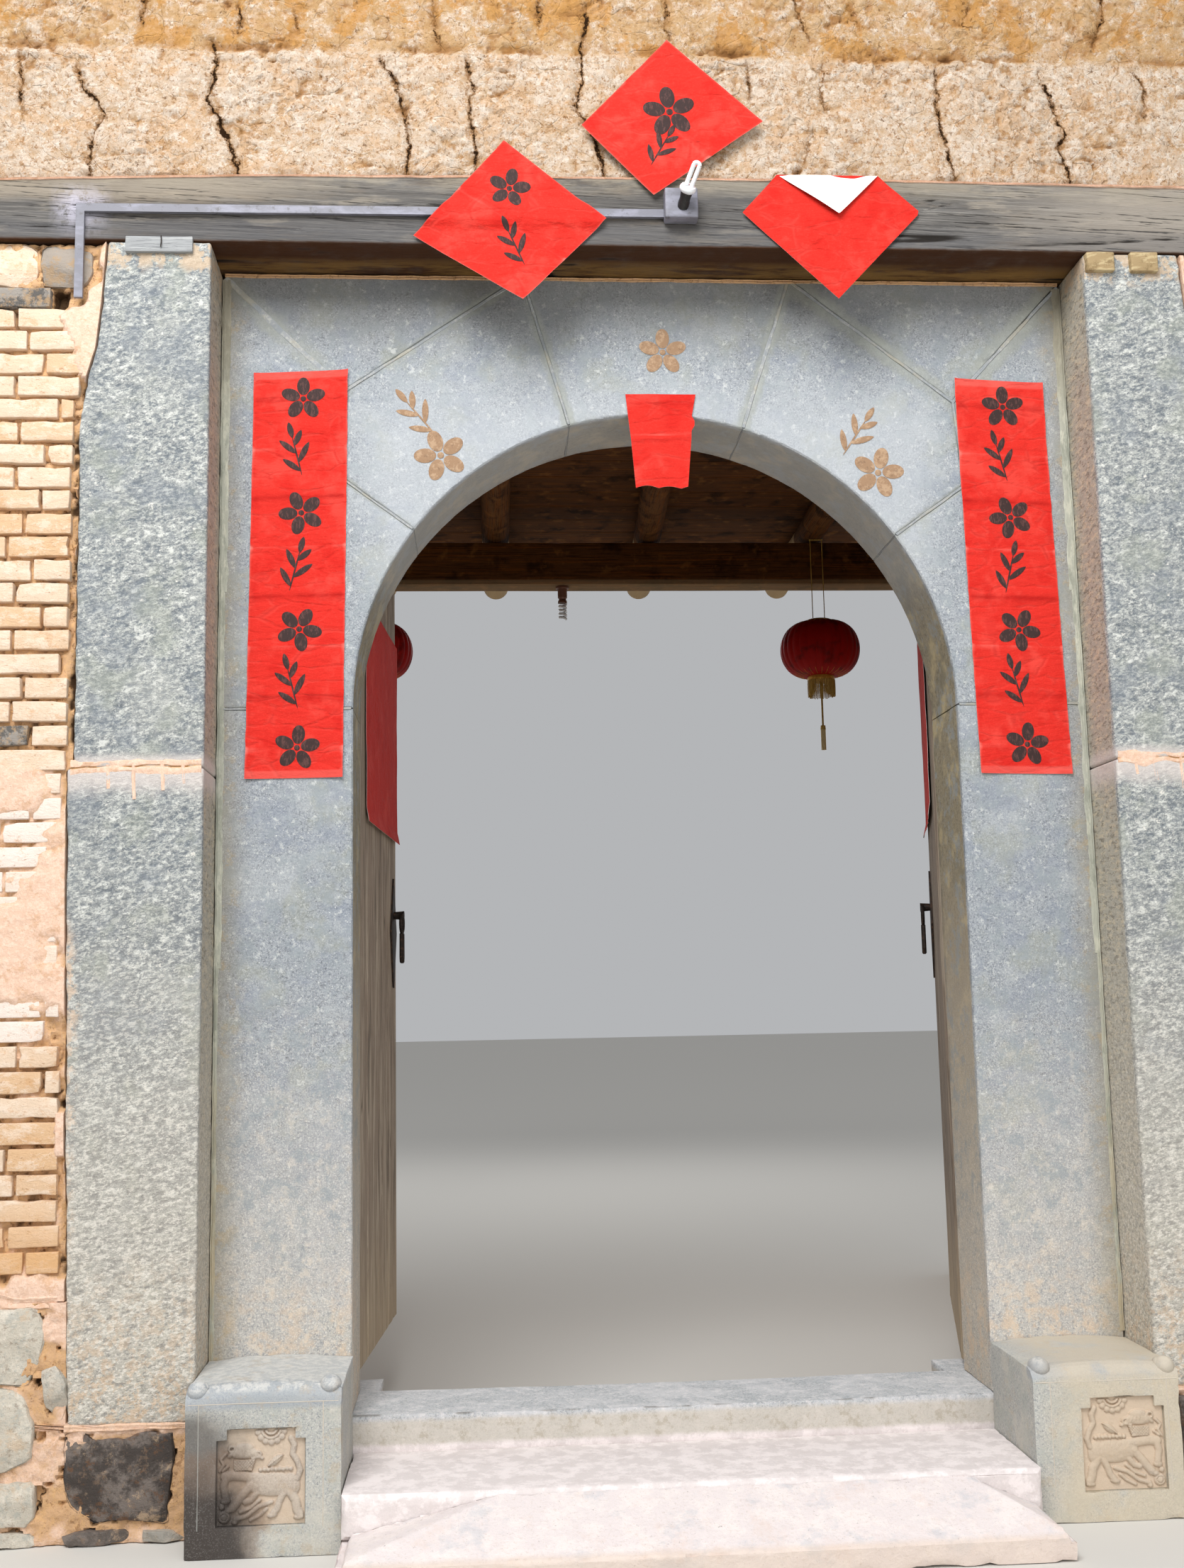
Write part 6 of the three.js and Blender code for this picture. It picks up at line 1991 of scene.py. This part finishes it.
def add_crown_slip():
    """A short slip pasted on the keystone, torn at its right edge, its end hanging free in the arch."""
    bottom, top, fold = 2896, 3194, 3050
    s = np.linspace(0, 1, 26)
    rows, tones = [], []
    for t in np.linspace(0, 1, 40):
        z = bottom + t * (top - bottom)
        left = np.interp(z, (bottom, fold, top), (-55, -66, -80))
        right = np.interp(z, (bottom, 3051, 3082, 3092, 3114, 3122, top), (104, 118, 120, 129, 130, 121, 135))
        x = left + s * (right - left)
        scallop = 7 * np.abs(np.sin(s * 2.3 * math.pi)) * (1 - t) ** 6
        hang = smooth(z, 3150, 2900) * (5 + 5 * np.sin(s * 5.5 + 0.6))
        lift = 2.5 + 1.8 * (1 + rough_over(x, np.full(26, z))(80, 3, 431)) + hang
        crease = np.exp(-np.abs(z - 3166) / 6) + np.exp(-np.abs(z - fold - 8 * (s - 0.5)) / 7)
        rows.append(np.stack([x, PANEL_FACE - lift - 3 * crease, z + scallop], axis=1))
        # Painted shade along the creases, and a painted highlight just beside the fold.
        tones.append(0.75 * crease - 0.5 * np.exp(-np.abs(z - 3064 - 8 * (s - 0.5)) / 7))
    sheet("paper_slip_crown", np.array(rows), (0, 1, 0), tone=np.array(tones))


# Small fittings.


def finish_node(node, finish):
    """Gives a frame node, kept as it is, its own finish."""
    NODES[node].data.materials.clear()
    NODES[node].data.materials.append(FINISHES[finish])


def add_wedges():
    """Pine wedges between the right pilaster and the beam, and a nailed grey board on the left one."""
    wedges = Pile()
    for k, (x0, x1, z0, z1) in enumerate(((1297, 1382, 3507, 3566), (1432, 1517, 3505, 3567))):
        points, faces = block((x0, -14, z0), (x1, 60, z1), 8, 5)
        wedges.lay(jumble(points, 26, 2.0, 441 + k), faces)
    wedges.build("pine_wedges", ["new_pine"], "old_timber")
    points, faces = block((-1535, -9, 3532), (-1344, 6, 3579), 8, 2)
    Pile().lay(jumble(points, 60, 1.2, 447), faces).build("nailed_board", ["grey_board"], "old_timber")
    nail = bar([(-1433, -13, 3578), (-1432, -14, 3560), (-1434, -12, 3545)], 1.6, 8)
    Pile().lay(*nail).build("bent_nail", ["forged_iron"], "wrought_iron")


def add_wall_lamp():
    """A grey box on the beam with a black socket, a white collar and two folded glass tubes."""
    lamp = Pile().lay(*block((27, -46, 3640), (125, -0.3, 3733), 9, 5))
    for start, end, radii, finish in (
            ((80, -40, 3675), (88, -86, 3704), (17, 17, 15.5, 17, 17), 1),
            ((87, -82, 3701), (91, -96, 3711), (20, 24, 25, 24, 21), 2)):
        lamp.lay(*bar(np.linspace(start, end, len(radii)), radii, 24), 0, finish)
    tube, length, apart = 6.4, 62, 8.5
    axis = np.array([26, -36, 60]) / np.linalg.norm([26, -36, 60])
    across = np.cross(axis, (0, 1, 0.2))
    across /= np.linalg.norm(across)
    foot = np.array([91.0, -95, 3710])
    for shift in (-apart, apart):
        base = foot + across * shift
        lamp.lay(*bar([base + axis * d for d in np.linspace(0, length, 9)], tube, 14), 0, 2)
    arch = [foot + axis * (length + 6 * math.sin(a)) + across * (-apart * math.cos(a))
            for a in np.linspace(0, math.pi, 9)]
    lamp.lay(*bar(arch, tube, 14), 0, 2)
    lamp.build("porch_lamp", ["painted_plastic", "bakelite", "lamp_white"], "grey_plastic", ["wall_lamp"])
    finish_node("cable_trunking", "painted_plastic")


def add_ceiling_lamp():
    """A bakelite holder under the cross-beam with a spiral tube lamp."""
    low, high = corners("ceiling_lamp")
    x, y, top = (low[0] + high[0]) / 2, (low[1] + high[1]) / 2, high[2]
    profile = ((84, 24), (72, 22), (66, 18), (60, 20), (56, 24), (18, 24), (11, 25), (9, 34), (0, 33))
    lamp = Pile().lay(*bar([(x, y, top - 0.3 - d) for d, _ in profile], [r for _, r in profile], 24), 1.0)
    turns = 8 * math.pi
    spiral = [(x + 16 * math.cos(a), y + 16 * math.sin(a), top - 91 - 76 * a / turns)
              for a in np.linspace(0, turns, 110)]
    lamp.lay(*bar(spiral, 6.6, 10), 0, 1)
    lamp.build("hall_lamp", ["bakelite", "lamp_white"], "grey_plastic", ["ceiling_lamp"])


LANTERN = {"top": 3265, "radius": 201, "half_height": 140, "gores": 28}


def add_lanterns():
    """Cloth lanterns on wire ribs: gilt collars, a mustard fringe and a long tassel, on two cords."""
    gores, radius, half, top = LANTERN["gores"], LANTERN["radius"], LANTERN["half_height"], LANTERN["top"]
    middle = top - 12 - half
    foot = middle - half
    for side, _ in SIDES:
        low, high = corners(f"lantern_{side}")
        x, y, hook = (low[0] + high[0]) / 2, (low[1] + high[1]) / 2, high[2]

        def round_lantern(reach, turn, z):
            return (x + reach * math.cos(turn), y + reach * math.sin(turn), z)

        sides = gores * 6
        pinch = np.abs(np.cos(np.arange(sides) * 2 * math.pi / sides * gores / 2)) ** 6
        lean = np.linspace(-math.pi / 2, math.pi / 2, 25)
        profile = 62 + (radius - 63) * np.cos(lean) ** 0.8
        body = profile[:, None] - 5.0 + 5.0 * (np.cos(lean)[:, None] * (1 - pinch[None, :]))
        route = [(x, y, middle + half * math.sin(a) * 0.999) for a in lean]
        Pile().lay(*bar(route, body, sides)).build(
            f"cloth_{side}", ["red_cloth"], "lantern_cloth", [f"lantern_{side}"])

        trim, rope = Pile(), Pile()
        for rows in (((top - 20, 58), (top - 14, 66), (top - 2, 64), (top, 60)),
                     ((foot - 24, 60), (foot - 22, 66), (foot - 14, 69), (foot + 4, 66), (foot + 8, 58))):
            trim.lay(*bar([(x, y, z) for z, _ in rows], [r for _, r in rows], 48))
        for k in range(gores):
            turn = 2 * math.pi * k / gores + 0.5 * math.pi / gores
            trim.lay(*bar([round_lantern(r - 4, turn, middle + half * math.sin(a))
                           for a, r in zip(lean[1:-1], profile[1:-1])], 1.1, 5))
        trim.build(f"gilt_{side}", ["gilt_paper"], "lantern_cloth")

        for k in range(60):
            drop = foot - 96 - 8 * float(lattice(np.array([[k, 1, 2]]), 61)[0])
            strand = [round_lantern(67, 2 * math.pi * k / 60, z) for z in (foot - 20, foot - 60, drop)]
            rope.lay(*bar(strand, [2.6, 3.4, 2.2], 6))
        for z0, z1, r0, r1 in ((foot - 24, foot - 252, 5, 5), (foot - 250, foot - 270, 12, 14)):
            rope.lay(*bar([(x, y, z1), (x, y, (z0 + z1) / 2), (x, y, z0)], [r1, (r0 + r1) / 2, r0], 12))
        # The tassel's strands carry the tone that paints them pale, as painted light.
        for k in range(18):
            strand = [round_lantern(5 + 5 * (k % 2), 2 * math.pi * k / 18, foot - 266 - 108 * s)
                      for s in (1, 0.7, 0.3, 0)]
            rope.lay(*bar(strand, 2.4, 6), 1.0)
        for aside in (-30, 30):
            rope.lay(*bar([(x + aside, y, top - 4), (x + aside, y, hook - 3)], 2.4, 8))
        rope.lay(*block((x - 35, y - 4, hook - 7), (x + 35, y + 4, hook - 0.3), 8, 2))
        rope.build(f"fringe_{side}", ["silk_fringe"], "lantern_cloth")


def add_floor():
    """The plain pale studio floor."""
    reach = 60
    mesh = bpy.data.meshes.new("studio_floor")
    mesh.from_pydata([(-reach, -reach, 0), (reach, -reach, 0), (reach, reach, 0), (-reach, reach, 0)],
                     [], [(0, 1, 2, 3)])
    floor = bpy.data.objects.new("studio_floor", mesh)
    bpy.context.scene.collection.objects.link(floor)
    mesh.materials.append(Finish("studio_floor", "#cfccc6", 0.95, 0.1).done())


def main():
    add_camera()
    add_lights()
    add_floor()
    add_arch_stones()
    add_pointing()
    add_pilasters()
    add_pilaster_mortar()
    add_pedestals()
    add_steps()
    add_earth_face()
    add_earth_walls()
    add_brickwork()
    add_plinths()
    add_beam()
    add_beam_dust()
    add_hall()
    add_leaves()
    add_papers()
    add_arch_blooms()
    add_wedges()
    add_wall_lamp()
    add_ceiling_lamp()
    add_lanterns()


main()
